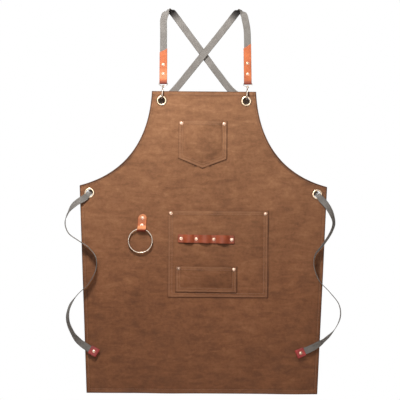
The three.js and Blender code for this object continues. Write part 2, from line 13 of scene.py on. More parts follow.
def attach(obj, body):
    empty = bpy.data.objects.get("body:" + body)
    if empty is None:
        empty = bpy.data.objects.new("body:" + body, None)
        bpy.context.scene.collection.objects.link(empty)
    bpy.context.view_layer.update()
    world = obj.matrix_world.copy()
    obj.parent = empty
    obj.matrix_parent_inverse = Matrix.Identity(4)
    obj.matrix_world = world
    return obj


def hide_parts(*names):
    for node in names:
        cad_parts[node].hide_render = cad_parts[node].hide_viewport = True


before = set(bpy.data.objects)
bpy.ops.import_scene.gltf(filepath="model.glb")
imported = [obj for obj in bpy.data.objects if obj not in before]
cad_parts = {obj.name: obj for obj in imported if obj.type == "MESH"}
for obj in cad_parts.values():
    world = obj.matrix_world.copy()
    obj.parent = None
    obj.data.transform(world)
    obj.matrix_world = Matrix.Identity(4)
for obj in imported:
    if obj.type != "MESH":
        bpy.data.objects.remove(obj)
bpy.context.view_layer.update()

MM = 0.001
GAP = 0.3  # between two pieces that lie on each other
SIDES = (("left", -1), ("right", 1))


class Sizes:
    """The named measures of one part."""

    def __init__(self, **measures):
        self.__dict__.update(measures)


def add_object(name, data):
    made = bpy.data.objects.new(name, data)
    bpy.context.scene.collection.objects.link(made)
    return made


# ---- camera, background and light

VIEW_WIDTH = 1.10  # metres across the picture, in the plane of the canvas
VIEW_MIDDLE = (-0.009, -0.527)
VIEW_FROM = 4.5
VIEW_ROLL = 0.007
SENSOR = 36.0


def add_camera():
    data = bpy.data.cameras.new("camera")
    data.sensor_width = SENSOR
    data.lens = SENSOR * VIEW_FROM / VIEW_WIDTH
    data.clip_end = 50
    camera = add_object("camera", data)
    x, z = VIEW_MIDDLE
    c, s = math.cos(VIEW_ROLL), math.sin(VIEW_ROLL)
    camera.matrix_world = Matrix(((c, -s, 0, x), (0, 0, -1, -VIEW_FROM), (s, c, 0, z), (0, 0, 0, 1)))
    bpy.context.scene.camera = camera


def area_light(name, place, towards, size, watts, colour, gloss_only=False):
    data = bpy.data.lights.new(name, "AREA")
    data.shape, data.size, data.energy, data.color = "DISK", size, watts, colour
    light = add_object(name, data)
    light.location = place
    light.rotation_euler = (Vector(towards) - Vector(place)).to_track_quat("-Z", "Y").to_euler()
    light.visible_diffuse = not gloss_only


def feed(tree, socket, value):
    """Gives a socket a constant or another node's output."""
    if isinstance(value, bpy.types.NodeSocket):
        tree.links.new(value, socket)
    else:
        socket.default_value = value


def node(tree, kind, out=0, settings=None, **inputs):
    """Adds a shader node with these inputs, where _0 is the first one, and returns one of its outputs."""
    made = tree.nodes.new("ShaderNode" + kind)
    for key, value in (settings or {}).items():
        setattr(made, key, value)
    for key, value in inputs.items():
        feed(tree, made.inputs[int(key[1:]) if key[0] == "_" else key.replace("_", " ")], value)
    return made.outputs[out]


def opaque(colour):
    return (*colour, 1) if hasattr(colour, "__len__") else (colour, colour, colour, 1)


def ramp(tree, fac, *stops):
    made = tree.nodes.new("ShaderNodeValToRGB")
    tree.links.new(fac, made.inputs[0])
    while len(made.color_ramp.elements) < len(stops):
        made.color_ramp.elements.new(0.5)
    for element, (place, colour) in zip(made.color_ramp.elements, stops):
        element.position = place
        element.color = opaque(colour)
    return made.outputs[0]


def add_world():
    world = bpy.data.worlds.new("studio")
    world.use_nodes = True
    tree = world.node_tree
    tree.nodes.clear()
    around = node(tree, "TexCoord", "Generated")
    height = node(tree, "MapRange", Value=node(tree, "SeparateXYZ", "Z", _0=around), From_Min=-1.0)
    side = node(tree, "MapRange", Value=node(tree, "SeparateXYZ", "X", _0=around), From_Min=-1.0,
                To_Min=1.12, To_Max=0.8)
    soft = ramp(tree, height, (0.0, 0.16), (0.45, 0.30), (0.62, 0.62), (1.0, 0.95))
    lit = node(tree, "Math", settings={"operation": "MULTIPLY"}, _0=soft, _1=side)
    seen = node(tree, "Background", Color=(1, 1, 1, 1), Strength=1.0)
    mirrored = node(tree, "Background", Color=lit, Strength=0.85)
    warm = node(tree, "Background", Color=(1.0, 0.82, 0.68, 1), Strength=0.14)
    other = node(tree, "MixShader", _0=node(tree, "LightPath", "Is Glossy Ray"), _1=warm, _2=mirrored)
    mixed = node(tree, "MixShader", _0=node(tree, "LightPath", "Is Camera Ray"), _1=other, _2=seen)
    tree.links.new(mixed, tree.nodes.new("ShaderNodeOutputWorld").inputs[0])
    bpy.context.scene.world = world


add_camera()
add_world()
area_light("key", (-0.33, -0.85, 0.42), (0.02, 0.0, -0.30), 0.34, 17, (1.0, 0.985, 0.965))
area_light("fill", (1.1, -1.5, 0.25), (0.0, 0.0, -0.5), 1.2, 3.2, (1.0, 0.93, 0.86))
area_light("behind", (0.8, 1.9, 0.5), (0.0, 0.0, -0.5), 1.2, 30, (1.0, 0.98, 0.96))
area_light("shine", (-0.5, -3.4, -0.1), (0.0, 0.0, -0.5), 2.2, 60, (1.0, 0.98, 0.95), gloss_only=True)
bpy.context.scene.view_settings.view_transform = "Standard"

# ---- materials


def material(name, build):
    made = bpy.data.materials.new(name)
    made.use_nodes = True
    tree = made.node_tree
    tree.nodes.clear()
    shader = tree.nodes.new("ShaderNodeBsdfPrincipled")
    tree.links.new(shader.outputs[0], tree.nodes.new("ShaderNodeOutputMaterial").inputs[0])

    def connect(**inputs):
        for key, value in inputs.items():
            feed(tree, shader.inputs[key.replace("_", " ")], value)

    build(tree, node(tree, "TexCoord", "Object"), connect)
    return made


def noise(tree, where, scale, detail=3.0, rough=0.55, distortion=0.0):
    return node(tree, "TexNoise", Vector=where, Scale=scale, Detail=detail, Roughness=rough, Distortion=distortion)


def maths(tree, operation, a, b=0.0, clamp=False):
    return node(tree, "Math", settings={"operation": operation, "use_clamp": clamp}, _0=a, _1=b)


def weighted(tree, *parts):
    total = None
    for value, weight in parts:
        share = maths(tree, "MULTIPLY", value, weight)
        total = share if total is None else maths(tree, "ADD", total, share)
    return total


def blend_colour(tree, fac, a, b, mode="MIX"):
    made = tree.nodes.new("ShaderNodeMix")
    made.data_type = "RGBA"
    made.blend_type = mode
    feed(tree, made.inputs[0], fac)
    for socket, value in ((made.inputs[6], a), (made.inputs[7], b)):
        feed(tree, socket, value if isinstance(value, bpy.types.NodeSocket) else opaque(value))
    return made.outputs[2]


def bands(tree, where, period, direction="X", distortion=0.6):
    """Sine bands with that period in metres."""
    settings = {"wave_type": "BANDS", "bands_direction": direction, "wave_profile": "SIN"}
    return node(tree, "TexWave", "Fac", settings, Vector=where, Scale=math.tau / 20 / period,
                Distortion=distortion, Detail=1.0, Detail_Scale=3.0)


def bump(tree, height, distance, strength=1.0, **under):
    return node(tree, "Bump", Height=height, Distance=distance, Strength=strength, **under)


def between(tree, value, low, high):
    """From "low" where the value is 0.3 to "high" where it is 0.7."""
    return node(tree, "MapRange", Value=value, From_Min=0.3, From_Max=0.7, To_Min=low, To_Max=high)


def shaded(tree, colour, dark, light):
    """Uses the mesh's own "shade": below 0 for darker worn edges, dull metal and hollows, and for painted shade and
    shadow in folds, grooves and under edges; above 0 for rubbed edges and painted highlights.
    """
    shade = node(tree, "Attribute", "Fac", {"attribute_name": "shade"})
    darker = blend_colour(tree, maths(tree, "MULTIPLY", shade, -1.0, True), colour, dark, "MULTIPLY")
    return blend_colour(tree, maths(tree, "MULTIPLY", shade, 1.0, True), darker, light)


def waxed_canvas(tree, where, connect):
    large = noise(tree, where, 5.5, 2.0, 0.5)
    cloud = noise(tree, where, 26.0, 4.0, 0.62, 0.4)
    level = node(tree, "Mapping", Vector=where, Scale=(0.42, 1.0, 1.35))
    smear = noise(tree, level, 46.0, 5.0, 0.68, 0.5)
    fleck = noise(tree, where, 120.0, 4.0, 0.7, 0.3)
    fibre = noise(tree, where, 950.0, 2.0)
    mottle = weighted(tree, (large, 0.16), (cloud, 0.22), (smear, 0.36), (fleck, 0.20), (fibre, 0.06))
    colour = ramp(tree, mottle, (0.38, (0.175, 0.073, 0.031)), (0.46, (0.262, 0.115, 0.052)),
                  (0.53, (0.350, 0.162, 0.078)), (0.62, (0.480, 0.245, 0.130)))
    warp = bands(tree, where, 0.00085, "X")
    weft = bands(tree, where, 0.00095, "Z")
    weave = maths(tree, "ADD", maths(tree, "MULTIPLY", warp, weft), maths(tree, "MULTIPLY", weft, 0.35))
    woven = blend_colour(tree, maths(tree, "MULTIPLY", weave, 0.28), colour, (0.52, 0.27, 0.155))
    height = node(tree, "SeparateXYZ", "Z", _0=where)
    # darker towards the hem: partly the canvas's own tone, partly painted shade where less light falls
    fall = node(tree, "MapRange", Value=height, From_Min=-0.30, From_Max=-1.05)
    low_tone_and_shade = ramp(tree, fall, (0.0, (0.95, 0.93, 0.86)), (0.35, (0.90, 0.81, 0.70)),
               (0.65, (0.80, 0.65, 0.51)), (1.0, (0.66, 0.51, 0.38)))
    darker = blend_colour(tree, 1.0, woven, low_tone_and_shade, "MULTIPLY")
    creases = bump(tree, weighted(tree, (cloud, 0.6), (fleck, 0.4)), 0.0022, 0.5)
    connect(Base_Color=shaded(tree, darker, (0.36, 0.30, 0.27), (0.56, 0.31, 0.185)),
            Roughness=node(tree, "MapRange", Value=cloud, To_Min=0.70, To_Max=0.92), Sheen_Weight=0.08,
            Sheen_Roughness=0.5, Specular_IOR_Level=0.35, Normal=bump(tree, weave, 0.00022, 0.7, Normal=creases))


def sewing_thread(tree, where, connect):
    twist = bands(tree, where, 0.0009, "DIAGONAL", 0.2)
    tone = weighted(tree, (noise(tree, where, 40.0), 0.7), (twist, 0.3))
    colour = ramp(tree, tone, (0.3, (0.28, 0.135, 0.070)), (0.7, (0.52, 0.29, 0.17)))
    connect(Base_Color=colour, Roughness=0.62, Normal=bump(tree, twist, 0.00012), Sheen_Weight=0.1)


def cotton_webbing(tree, where, connect):
    lay = node(tree, "TexCoord", "UV")
    along = node(tree, "SeparateXYZ", "Y", _0=lay)
    across = maths(tree, "ABSOLUTE", node(tree, "SeparateXYZ", "X", _0=lay))
    slant = node(tree, "CombineXYZ", X=maths(tree, "ADD", across, along), Y=along)
    twill, yarn = bands(tree, slant, 0.0021, "X", 0.3), bands(tree, lay, 0.0011, "X", 0.3)
    cloth = weighted(tree, (twill, 0.65), (yarn, 0.35))
    soil = noise(tree, where, 45.0, 4.0, 0.6)
    tone = weighted(tree, (cloth, 0.42), (soil, 0.40), (noise(tree, where, 700.0, 2.0), 0.18))
    colour = ramp(tree, tone, (0.30, (0.150, 0.138, 0.126)), (0.52, (0.245, 0.230, 0.214)),
                  (0.72, (0.345, 0.328, 0.308)))
    selvedge = node(tree, "MapRange", Value=across, From_Min=0.0078, From_Max=0.0092)
    edged = blend_colour(tree, maths(tree, "MULTIPLY", selvedge, 0.75), colour, (0.62, 0.60, 0.58), "MULTIPLY")
    # the mesh's shade turns the straps' inner faces past their bights near black: painted shade
    connect(Base_Color=shaded(tree, edged, (0.11, 0.10, 0.095), (0.42, 0.40, 0.38)), Roughness=0.86,
            Normal=bump(tree, cloth, 0.0003, 0.8), Sheen_Weight=0.12, Sheen_Roughness=0.5)


def leather(deep, main, pale, edge, gloss, highlight_colour=None):
    def build(tree, where, connect):
        cloud = noise(tree, where, 42.0, 4.0, 0.6)
        pores = noise(tree, where, 1900.0, 2.0)
        cells = node(tree, "TexVoronoi", "Distance", {"feature": "DISTANCE_TO_EDGE"}, Vector=where, Scale=780.0)
        grain = maths(tree, "MINIMUM", cells, 0.16)
        tone = weighted(tree, (cloud, 0.72), (pores, 0.16), (maths(tree, "MULTIPLY", grain, 6.0), 0.12))
        colour = ramp(tree, tone, (0.36, deep), (0.52, main), (0.68, pale))
        marks = bump(tree, cloud, 0.0009, 0.3)
        # the mesh's shade blends in the darker colour for burnished edges and painted shade, and the lighter one for
        # painted highlights
        connect(Base_Color=shaded(tree, colour, edge, highlight_colour or pale), Specular_IOR_Level=0.38,
                Coat_Weight=0.05, Coat_Roughness=0.30, Roughness=between(tree, tone, gloss, gloss + 0.16),
                Normal=bump(tree, grain, 0.0005, 0.55, Normal=marks))
    return build


def metal(colour, dull, rough):
    def build(tree, where, connect):
        long = node(tree, "Mapping", Vector=where, Scale=(1.0, 1.0, 12.0))
        scratch = noise(tree, long, 420.0, 3.0, 0.7)
        tone = weighted(tree, (scratch, 0.35), (noise(tree, where, 90.0, 3.0), 0.65))
        finish = shaded(tree, ramp(tree, tone, (0.30, dull), (0.55, colour)), (0.25, 0.22, 0.2), colour)
        connect(Base_Color=finish, Metallic=1.0, Normal=bump(tree, scratch, 0.00005, 0.6),
                Roughness=between(tree, tone, rough + 0.16, rough))
    return build


THREAD = material("sewing_thread", sewing_thread)
FINISHES = {slot: material(name, build) for slot, name, build in (
    ("canvas", "waxed_canvas", waxed_canvas),
    ("webbing", "cotton_webbing", cotton_webbing),
    # tan leather's last colour is its painted highlight colour
    ("tan_leather", "tan_leather", leather((0.43, 0.086, 0.010), (0.57, 0.122, 0.018), (0.70, 0.185, 0.042),
                                           (0.40, 0.17, 0.10), 0.36, (0.90, 0.37, 0.15))),
    ("brown_leather", "brown_leather", leather((0.250, 0.045, 0.014), (0.380, 0.072, 0.022),
                                               (0.500, 0.115, 0.040), (0.38, 0.24, 0.20), 0.42)),
    ("red_leather", "red_leather", leather((0.28, 0.020, 0.018), (0.42, 0.030, 0.028), (0.58, 0.065, 0.055),
                                           (0.40, 0.26, 0.24), 0.32)),
    ("copper_rivet", "copper_rivet", metal((0.86, 0.62, 0.48), (0.60, 0.39, 0.28), 0.22)),
    ("eyelet_metal", "eyelet_metal", metal((0.72, 0.56, 0.40), (0.46, 0.34, 0.23), 0.22)),
    ("hook_metal", "hook_metal", metal((0.55, 0.46, 0.38), (0.27, 0.22, 0.18), 0.20)),
    ("spring_steel", "spring_steel", metal((0.56, 0.56, 0.57), (0.34, 0.34, 0.35), 0.28)),
)}

# ---- meshes


def piece(name, parts, slot, nodes=(), body="apron", finish=None, sharp=40.0):
    """Makes one object of parts, each (points in mm, faces, shade, uv), and rides it; shade and uv may be None."""
    points, faces, shades, uvs, base = [], [], [], [], 0
    for vertices, polygons, shade, uv in parts:
        count = len(vertices)
        points.append(vertices)
        faces += [tuple(int(i) + base for i in face) for face in polygons]
        shades.append(np.zeros(count) if shade is None else shade)
        uvs.append(np.zeros((count, 2)) if uv is None else uv)
        base += count
    mesh = bpy.data.meshes.new(name)
    mesh.from_pydata(np.concatenate(points) * MM, [], faces)
    mesh.validate()
    outward = bmesh.new()
    outward.from_mesh(mesh)
    bmesh.ops.recalc_face_normals(outward, faces=outward.faces)
    outward.to_mesh(mesh)
    outward.free()
    mesh.polygons.foreach_set("use_smooth", [True] * len(mesh.polygons))
    mesh.set_sharp_from_angle(angle=math.radians(sharp))
    held = mesh.attributes.new("shade", "FLOAT", "POINT")
    held.data.foreach_set("value", np.concatenate(shades).astype(np.float32))
    if any(part[3] is not None for part in parts):
        corners = np.zeros(len(mesh.loops), np.int32)
        mesh.loops.foreach_get("vertex_index", corners)
        lay = np.concatenate(uvs)[corners].ravel().astype(np.float32)
        mesh.uv_layers.new(name="lay").data.foreach_set("uv", lay)
    mesh.materials.append(finish or FINISHES[slot])
    made = add_object(name, mesh)
    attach(made, body)
    if nodes:
        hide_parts(*nodes)
    return made


def xyz(x, y, z):
    return np.stack(np.broadcast_arrays(x, y, z), -1)


def leaned(points, lean, x, z):
    """Points turned by an angle round the Y axis, then moved."""
    px, py, pz = np.moveaxis(np.asarray(points, float), -1, 0)
    c, s = math.cos(lean), math.sin(lean)
    return xyz(x + px * c + pz * s, py, z - px * s + pz * c)


def unit(v):
    return v / np.maximum(np.linalg.norm(v, axis=-1, keepdims=True), 1e-12)


def run_of(points):
    """The length run from the first point to each one."""
    return np.concatenate([[0], np.cumsum(np.linalg.norm(np.diff(points, axis=0), axis=1))])


def smooth(t):
    t = np.clip(t, 0.0, 1.0)
    return t * t * (3 - 2 * t)


def ridge(distance, line, width=1.2):
    """1 on a line, falling to 0 beside it."""
    return np.exp(-(((distance - line) / width) ** 2))


def rim_share(inside, reach):
    """The share of its thickness that a sheet with a rounded edge has at a distance inside the edge."""
    return 0.3 + 0.7 * np.sqrt(1 - (1 - np.clip(inside / reach, 0, 1)) ** 2)


def skin(rings, sides, closed=False):
    """Faces round rings of points, with as many points in each as there are sides, and at both ends."""
    faces = []
    for i in range(rings - (not closed)):
        a, b = i * sides, (i + 1) % rings * sides
        faces += [(a + s, a + (s + 1) % sides, b + (s + 1) % sides, b + s) for s in range(sides)]
    if not closed:
        faces += [tuple(range(sides))[::-1], tuple(range((rings - 1) * sides, rings * sides))]
    return faces


def shell(front, back, shade, keep=None, bulge=0.3, back_shade=None):
    """Closes two grids of points into a thin solid with a rounded rim. Rows go up and columns to the right."""
    rows, columns = front.shape[:2]
    count = rows * columns
    index = np.arange(count).reshape(rows, columns)
    quads = np.stack([index[:-1, :-1], index[:-1, 1:], index[1:, 1:], index[1:, :-1]], -1)
    quads = quads.reshape(-1, 4) if keep is None else quads[keep]
    a, b = quads.ravel(), np.roll(quads, -1, 1).ravel()
    ways = set(zip(a.tolist(), b.tolist()))
    rim = [(i, j) for i, j in zip(a.tolist(), b.tolist()) if (j, i) not in ways]
    f, k = front.reshape(-1, 3), back.reshape(-1, 3)
    outward = np.zeros_like(f)
    for i, j in rim:
        side = unit(np.cross(f[j] - f[i], f[i] - k[i]))
        outward[i] += side
        outward[j] += side
    on_rim = sorted({i for edge in rim for i in edge})
    middle = {v: 2 * count + n for n, v in enumerate(on_rim)}
    mid = (f[on_rim] + k[on_rim]) / 2 + unit(outward[on_rim]) * bulge
    faces = [tuple(q) for q in quads.tolist()] + [tuple(q[::-1] + count) for q in quads]
    for i, j in rim:
        faces.append((j, i, middle[i], middle[j]))
        faces.append((middle[j], middle[i], i + count, j + count))
    shade = shade.ravel()
    rear = shade if back_shade is None else back_shade.ravel()
    points = np.concatenate([f, k, mid])
    used = np.zeros(len(points), bool)
    used[np.concatenate([quads.ravel(), quads.ravel() + count, np.arange(2 * count, len(points))])] = True
    renumber = np.cumsum(used) - 1
    return (points[used], [tuple(renumber[list(face)]) for face in faces],
            np.concatenate([shade, rear, shade[on_rim]])[used], None)


def tube(path, radius, sides=16, closed=False, flat=1.0, up=(0.0, 1.0, 0.0)):
    """A bar along a path. "flat" is its second radius over its first, and "up" sets the first one's side."""
    along = unit(np.roll(path, -1, 0) - np.roll(path, 1, 0)) if closed else unit(np.gradient(path, axis=0))
    first = unit(np.cross(along, np.asarray(up)))
    second = np.cross(along, first)
    turn = np.arange(sides) * math.tau / sides
    radii = np.broadcast_to(radius, (len(path),))[:, None, None]
    ring = np.cos(turn)[None, :, None] * first[:, None] + flat * np.sin(turn)[None, :, None] * second[:, None]
    return (path[:, None] + ring * radii).reshape(-1, 3), skin(len(path), sides, closed), None, None


def lathe(profile, segments=40, place=lambda p: p, shade=None, closed=False):
    """Turns a profile of (radius, height) round the Y axis; height goes along Y. "place" moves the points."""
    turn = np.arange(segments) * math.tau / segments
    points, rings = [], []
    for r, h in profile:
        first = len(points)
        rings.append([first] * segments if r < 1e-6 else list(range(first, first + segments)))
        points += [(0.0, h, 0.0)] if r < 1e-6 else [(r * math.cos(t), h, r * math.sin(t)) for t in turn]
    faces = []
    for a, b in zip(rings, rings[1:] + rings[:1] if closed else rings[1:]):
        for s in range(segments):
            t = (s + 1) % segments
            faces.append(tuple(dict.fromkeys([a[s], b[s], b[t], a[t]])))
    shades = None
    if shade is not None:
        shades = np.zeros(len(points))
        for level, ring in zip(shade, rings):
            shades[ring] = level
    return place(np.asarray(points)), faces, shades, None


def rounded(profile, radius=0.25, steps=3):
    """Rounds the corners of a closed profile."""
    profile = [np.asarray(p, float) for p in profile]
    out = []
    for i, corner in enumerate(profile):
        before, after = profile[i - 1], profile[(i + 1) % len(profile)]
        reach = min(radius, np.linalg.norm(before - corner) / 2.2, np.linalg.norm(after - corner) / 2.2)
        a = corner + unit(before - corner) * reach
        b = corner + unit(after - corner) * reach
        out += [(1 - t) ** 2 * a + 2 * t * (1 - t) * corner + t * t * b for t in np.linspace(0, 1, steps + 1)]
    return np.asarray(out)


def plate(outline, low, high, bevel, place):
    """A flat outline as a slab between two levels, its edges bevelled; place turns (u, v, level) into a point."""
    outline = np.asarray(outline, float)
    ahead, behind = unit(np.roll(outline, -1, 0) - outline), unit(outline - np.roll(outline, 1, 0))
    inward = unit(np.stack([-(ahead + behind)[:, 1], (ahead + behind)[:, 0]], 1))
    small = outline + inward * bevel
    rings = [(small, low), (outline, low + bevel), (outline, high - bevel), (small, high)]
    points = np.concatenate([xyz(ring[:, 0], ring[:, 1], level) for ring, level in rings])
    return place(points), skin(4, len(outline)), None, None


def catmull(points, t):
    """Centripetal Catmull-Rom through the points, at each t from 0 to 1."""
    p = np.asarray(points, float)
    p = np.concatenate([[2 * p[0] - p[1]], p, [2 * p[-1] - p[-2]]])
    place = np.asarray(t, float) * (len(p) - 3)
    i = np.minimum(place.astype(int), len(p) - 4)
    w = (place - i)[:, None]
    p0, p1, p2, p3 = (p[i + k] for k in range(4))
    d0, d1, d2 = (np.maximum(np.linalg.norm(b - a, axis=1, keepdims=True) ** 0.5, 1e-4)
                  for a, b in ((p0, p1), (p1, p2), (p2, p3)))
    t1 = ((p1 - p0) / d0 - (p2 - p0) / (d0 + d1) + (p2 - p1) / d1) * d1
    t2 = ((p2 - p1) / d1 - (p3 - p1) / (d1 + d2) + (p3 - p2) / d2) * d1
    return p1 + t1 * w + (3 * (p2 - p1) - 2 * t1 - t2) * w**2 + (2 * (p1 - p2) + t1 + t2) * w**3


# ---- webbing: the ties, then the shoulder straps

WEBBING_THICK = 1.6
WEBBING_WIDTH = 19.0


def web_frames(stations, steps):
    """Centre, direction, width direction, face and width of the webbing at even steps along its stations.
    A station is (x, y, z, turn in degrees) and may have a width."""
    full = np.asarray([(*s, WEBBING_WIDTH) if len(s) == 4 else s for s in stations], float)
    places, turns, widths = full[:, :3], np.radians(full[:, 3]), full[:, 4]
    t = np.linspace(0, 1, steps + 1)
    at = t * (len(full) - 1)
    i = np.minimum(at.astype(int), len(full) - 2)
    s = smooth(at - i)
    turn = (turns[i] + (turns[i + 1] - turns[i]) * s)[:, None]
    width = widths[i] + (widths[i + 1] - widths[i]) * s
    h = 1e-4
    along = unit(catmull(places, np.minimum(t + h, 1)) - catmull(places, np.maximum(t - h, 0)))
    level = unit(xyz(-along[:, 2], 0, along[:, 0]))
    wide = np.cos(turn) * level + np.sin(turn) * np.cross(along, level)
    return catmull(places, t), along, wide, np.cross(along, wide), width


def web_section():
    """(share of the half width, share of the half thickness) round the webbing's section."""
    flat = np.linspace(-0.93, 0.93, 13)
    top = list(zip(flat, 1.0 + 0.16 * ridge(np.abs(flat), 0.86, 0.07)))
    round_end = [(0.975, 0.72), (1.0, 0.0), (0.975, -0.72)]
    bottom = [(a, -b) for a, b in reversed(top)]
    return np.asarray(top + round_end + bottom + [(-a, -b) for a, b in round_end])


def web_mesh(frames, shade=None):
    centre, _, wide, face, width = frames
    section = web_section()
    across, out = section.T[:, None, :, None]
    points = (centre[:, None] + wide[:, None] * (across * width[:, None, None] / 2)
              + face[:, None] * (out * WEBBING_THICK / 2))
    u, v = np.meshgrid(section[:, 0] * WEBBING_WIDTH / 2 * MM, run_of(centre) * MM)
    return (points.reshape(-1, 3), skin(len(centre), len(section)),
            None if shade is None else np.repeat(shade, len(section)), np.stack([u, v], -1).reshape(-1, 2))


TIES = {
    "left": [
        (-313.8, -0.7, -509.9, 0, 14), (-317.9, -5.2, -514.9, 0, 14.5), (-325, -5.4, -522.6, 0, 18),
        (-352, -8, -540, 40), (-371, -12, -566, 78), (-378.5, -13, -592, 90), (-369, -14, -620, 90),
        (-343, -15, -639.5, 90), (-313, -15, -659.5, 90), (-293.5, -15, -686, 90), (-293, -15, -718, 90),
        (-312, -15, -757.5, 90), (-344, -15, -790, 88), (-365, -13, -823, 70), (-369.5, -12, -858, 58),
        (-356, -11, -894, 50), (-339, -9, -916.5, 22), (-320, -8, -931, 0), (-306, -8, -939.5, 0),
        (-291, -8, -948, 0),
    ],
    "right": [
        (313.8, -0.7, -509.9, 0, 14), (317.9, -5.2, -514.9, 0, 14.5), (324.5, -5.4, -522.6, 0, 18),
        (345, -8.5, -548, -36), (358.5, -11, -586, -62), (352, -12, -611, -66), (329, -13, -648, -70),
        (308, -14, -676, -78), (305, -15, -706, -88), (319, -15, -745, -90), (350, -15, -779, -90),
        (374, -15, -811, -90), (378, -15, -843, -90), (364, -14, -877, -84), (338, -11, -906, -58),
        (312, -9, -925, -20), (293, -8, -935, 0), (279, -8, -941, 0), (263, -8, -948, 0),
    ],
}
TIE_END = Sizes(width=24.0, length=25.0, leather=1.5, fold=1.1, inside=20.0)
RIVET = Sizes(cap=4.3, dome=1.7, plate=4.0, thick=1.1)
EDGE_ROWS = np.array([0.0, 0.25, 0.7, 1.5])  # distances from a leather's edge, where its rounding needs rows


def cap_parts(place):
    """A rivet's cap with a raised ring round a shallow dome, on y = 0 and standing out towards -Y."""
    cap, dome = RIVET.cap, RIVET.dome
    profile = [(0, 0.2), (cap - 0.25, 0.2), (cap, -0.05), (cap, -0.35), (cap - 0.35, -0.7), (cap - 0.85, -0.72),
               (cap - 1.15, -0.42), (cap - 1.45, -0.75), (cap - 2.1, -dome + 0.35), (cap - 3.1, -dome + 0.05),
               (0, -dome)]
    return lathe(profile, 36, place, [0, 0, -0.2, 0, 0, 0, -1.0, -0.15, 0, 0, 0])


def plate_parts(place):
    """A rivet's back plate: a flat ring round the flared end of its post, standing out towards +Y."""
    r, thick = RIVET.plate, RIVET.thick
    profile = [(0, -0.2), (r - 0.2, -0.2), (r, 0.1), (r, thick * 0.5), (r - 0.5, thick * 0.8), (2.1, thick * 0.72),
               (1.9, thick * 0.5), (1.7, thick), (1.15, thick), (0.85, 0.25), (0, 0.2)]
    return lathe(profile, 32, place, [0, 0, 0, 0, 0, -0.1, -1.0, 0, 0, -1.0, -1.0])


def rivet_dent(x, z):
    """Painted shade in the ring that a rivet's cap presses into leather, at a place measured from the rivet."""
    return -0.5 * ridge(np.hypot(x, z), 5.0, 0.9)


def leaf(path, half, thick):
    """Leather along a path of (y, z) rows, each with a half width. Returns grids whose rows go along the path:
    the middle of the leather, what to add to it for the outer face, and the shade."""
    half = np.broadcast_to(half, (len(path),))[:, None]
    near = np.minimum(EDGE_ROWS, half * 0.5)
    inner = np.linspace(-1, 1, 11)[1:-1]
    x = np.concatenate([near - half, inner * np.maximum(half - 1.5, half * 0.5), (half - near)[:, ::-1]], 1)
    along = unit(np.gradient(path, axis=0))
    run = run_of(path)
    inside = np.minimum(half - np.abs(x), np.minimum(run, run[-1] - run)[:, None])
    normal = xyz(np.zeros_like(x), along[:, 1:], -along[:, :1])
    lift = normal * (thick / 2 * rim_share(inside, thick * 0.45))[..., None]
    return xyz(x, path[:, :1], path[:, 1:]), lift, -0.55 * (1 - smooth(inside / 1.3))


def folded(top, radius, steps, pinch, start, reach):
    """Rows of a U of leather, (y, z), that stands on its fold at z = 0 and is pinched in above "start"."""
    down = np.concatenate([top - EDGE_ROWS, np.linspace(top - 1.5, 0, 22)[1:]])
    turn = np.linspace(math.pi, 2 * math.pi, steps)[1:-1]
    rows = [(-radius, z) for z in down] + [(radius * math.cos(a), radius * math.sin(a)) for a in turn]
    rows = np.asarray(rows + [(radius, z) for z in down[::-1]])
    rows[:, 0] -= np.sign(rows[:, 0]) * pinch * smooth((rows[:, 1] - start) / reach)
    return rows


def add_tie(hand):
    frames = web_frames(TIES[hand], 260)
    centre, along, wide, face, _ = (part[-1] for part in frames)
    basis = np.stack([wide, face, along])
    into = lambda p: p @ basis + centre
    size = TIE_END
    radius = size.fold + size.leather / 2
    reach = size.length - size.fold - size.leather
    pinch = 0.35
    rows = folded(reach, radius, 12, pinch, 2, 9)
    half = size.width / 2 - np.clip(1.5 - (reach - rows[:, 1]), 0, 1.5) * 0.7
    mid, lift, shade = leaf(rows, half, size.leather)
    upside_down = np.array([1.0, -1.0, -1.0])
    mid = mid * upside_down + (0, 0, reach - size.inside)
    lift = lift * upside_down
    leather_end = shell(into(mid + lift), into(mid - lift), shade, bulge=0.25)
    end = piece(f"{hand}_tie_leather", [leather_end], "red_leather", [f"{hand}_tie_end"])
    up = size.length / 2 - size.inside
    face_at = radius - pinch + size.leather / 2
    turned = 1.0 if hand == "left" else -1.0  # the right tie's rivet faces the other way
    flip = np.array([turned, turned, 1.0])
    stud = piece(f"{hand}_tie_stud", [cap_parts(lambda p: into((p - (0, face_at, 0)) * flip + (0, 0, up))),
                                      plate_parts(lambda p: into((p + (0, face_at, 0)) * flip + (0, 0, up)))],
                 "copper_rivet", [f"{hand}_tie_rivet"])
    tie = piece(f"{hand}_tie_webbing", [web_mesh(frames)], "webbing", [f"{hand}_tie"])


for hand, _ in SIDES:
    add_tie(hand)

HOOK_LEAN = 0.096
BIB_EYELET = (116.3, -254.4)
WAIST_EYELET = (313.4, -509.5)
COLLAR_TOP = 41.3
LOOP_BAR_AT = 48.8
TAB = Sizes(width=21.0, leather=1.8, fold=1.4, pinch=0.5)
TABS = {
    "left": Sizes(tops=(84.2, 94.8), rivets=(25.5, 50.5), lean=0.0),
    "right": Sizes(tops=(96.6, 109.1), rivets=(26.0, 55.4), lean=-0.021),
}


def hook_place(side, points):
    """From the snap hook's own frame, with its origin in the middle of its eyelet, to the part's frame."""
    return leaned(points, HOOK_LEAN, side * BIB_EYELET[0], BIB_EYELET[1])


def tab_place(hand, side, points):
    """From the strap tab's own frame, with its origin on the bar of the hook's loop, to the part's frame."""
    pivot = hook_place(side, (0, 0, COLLAR_TOP))
    return leaned(points, TABS[hand].lean, pivot[0], pivot[2] + LOOP_BAR_AT - COLLAR_TOP)


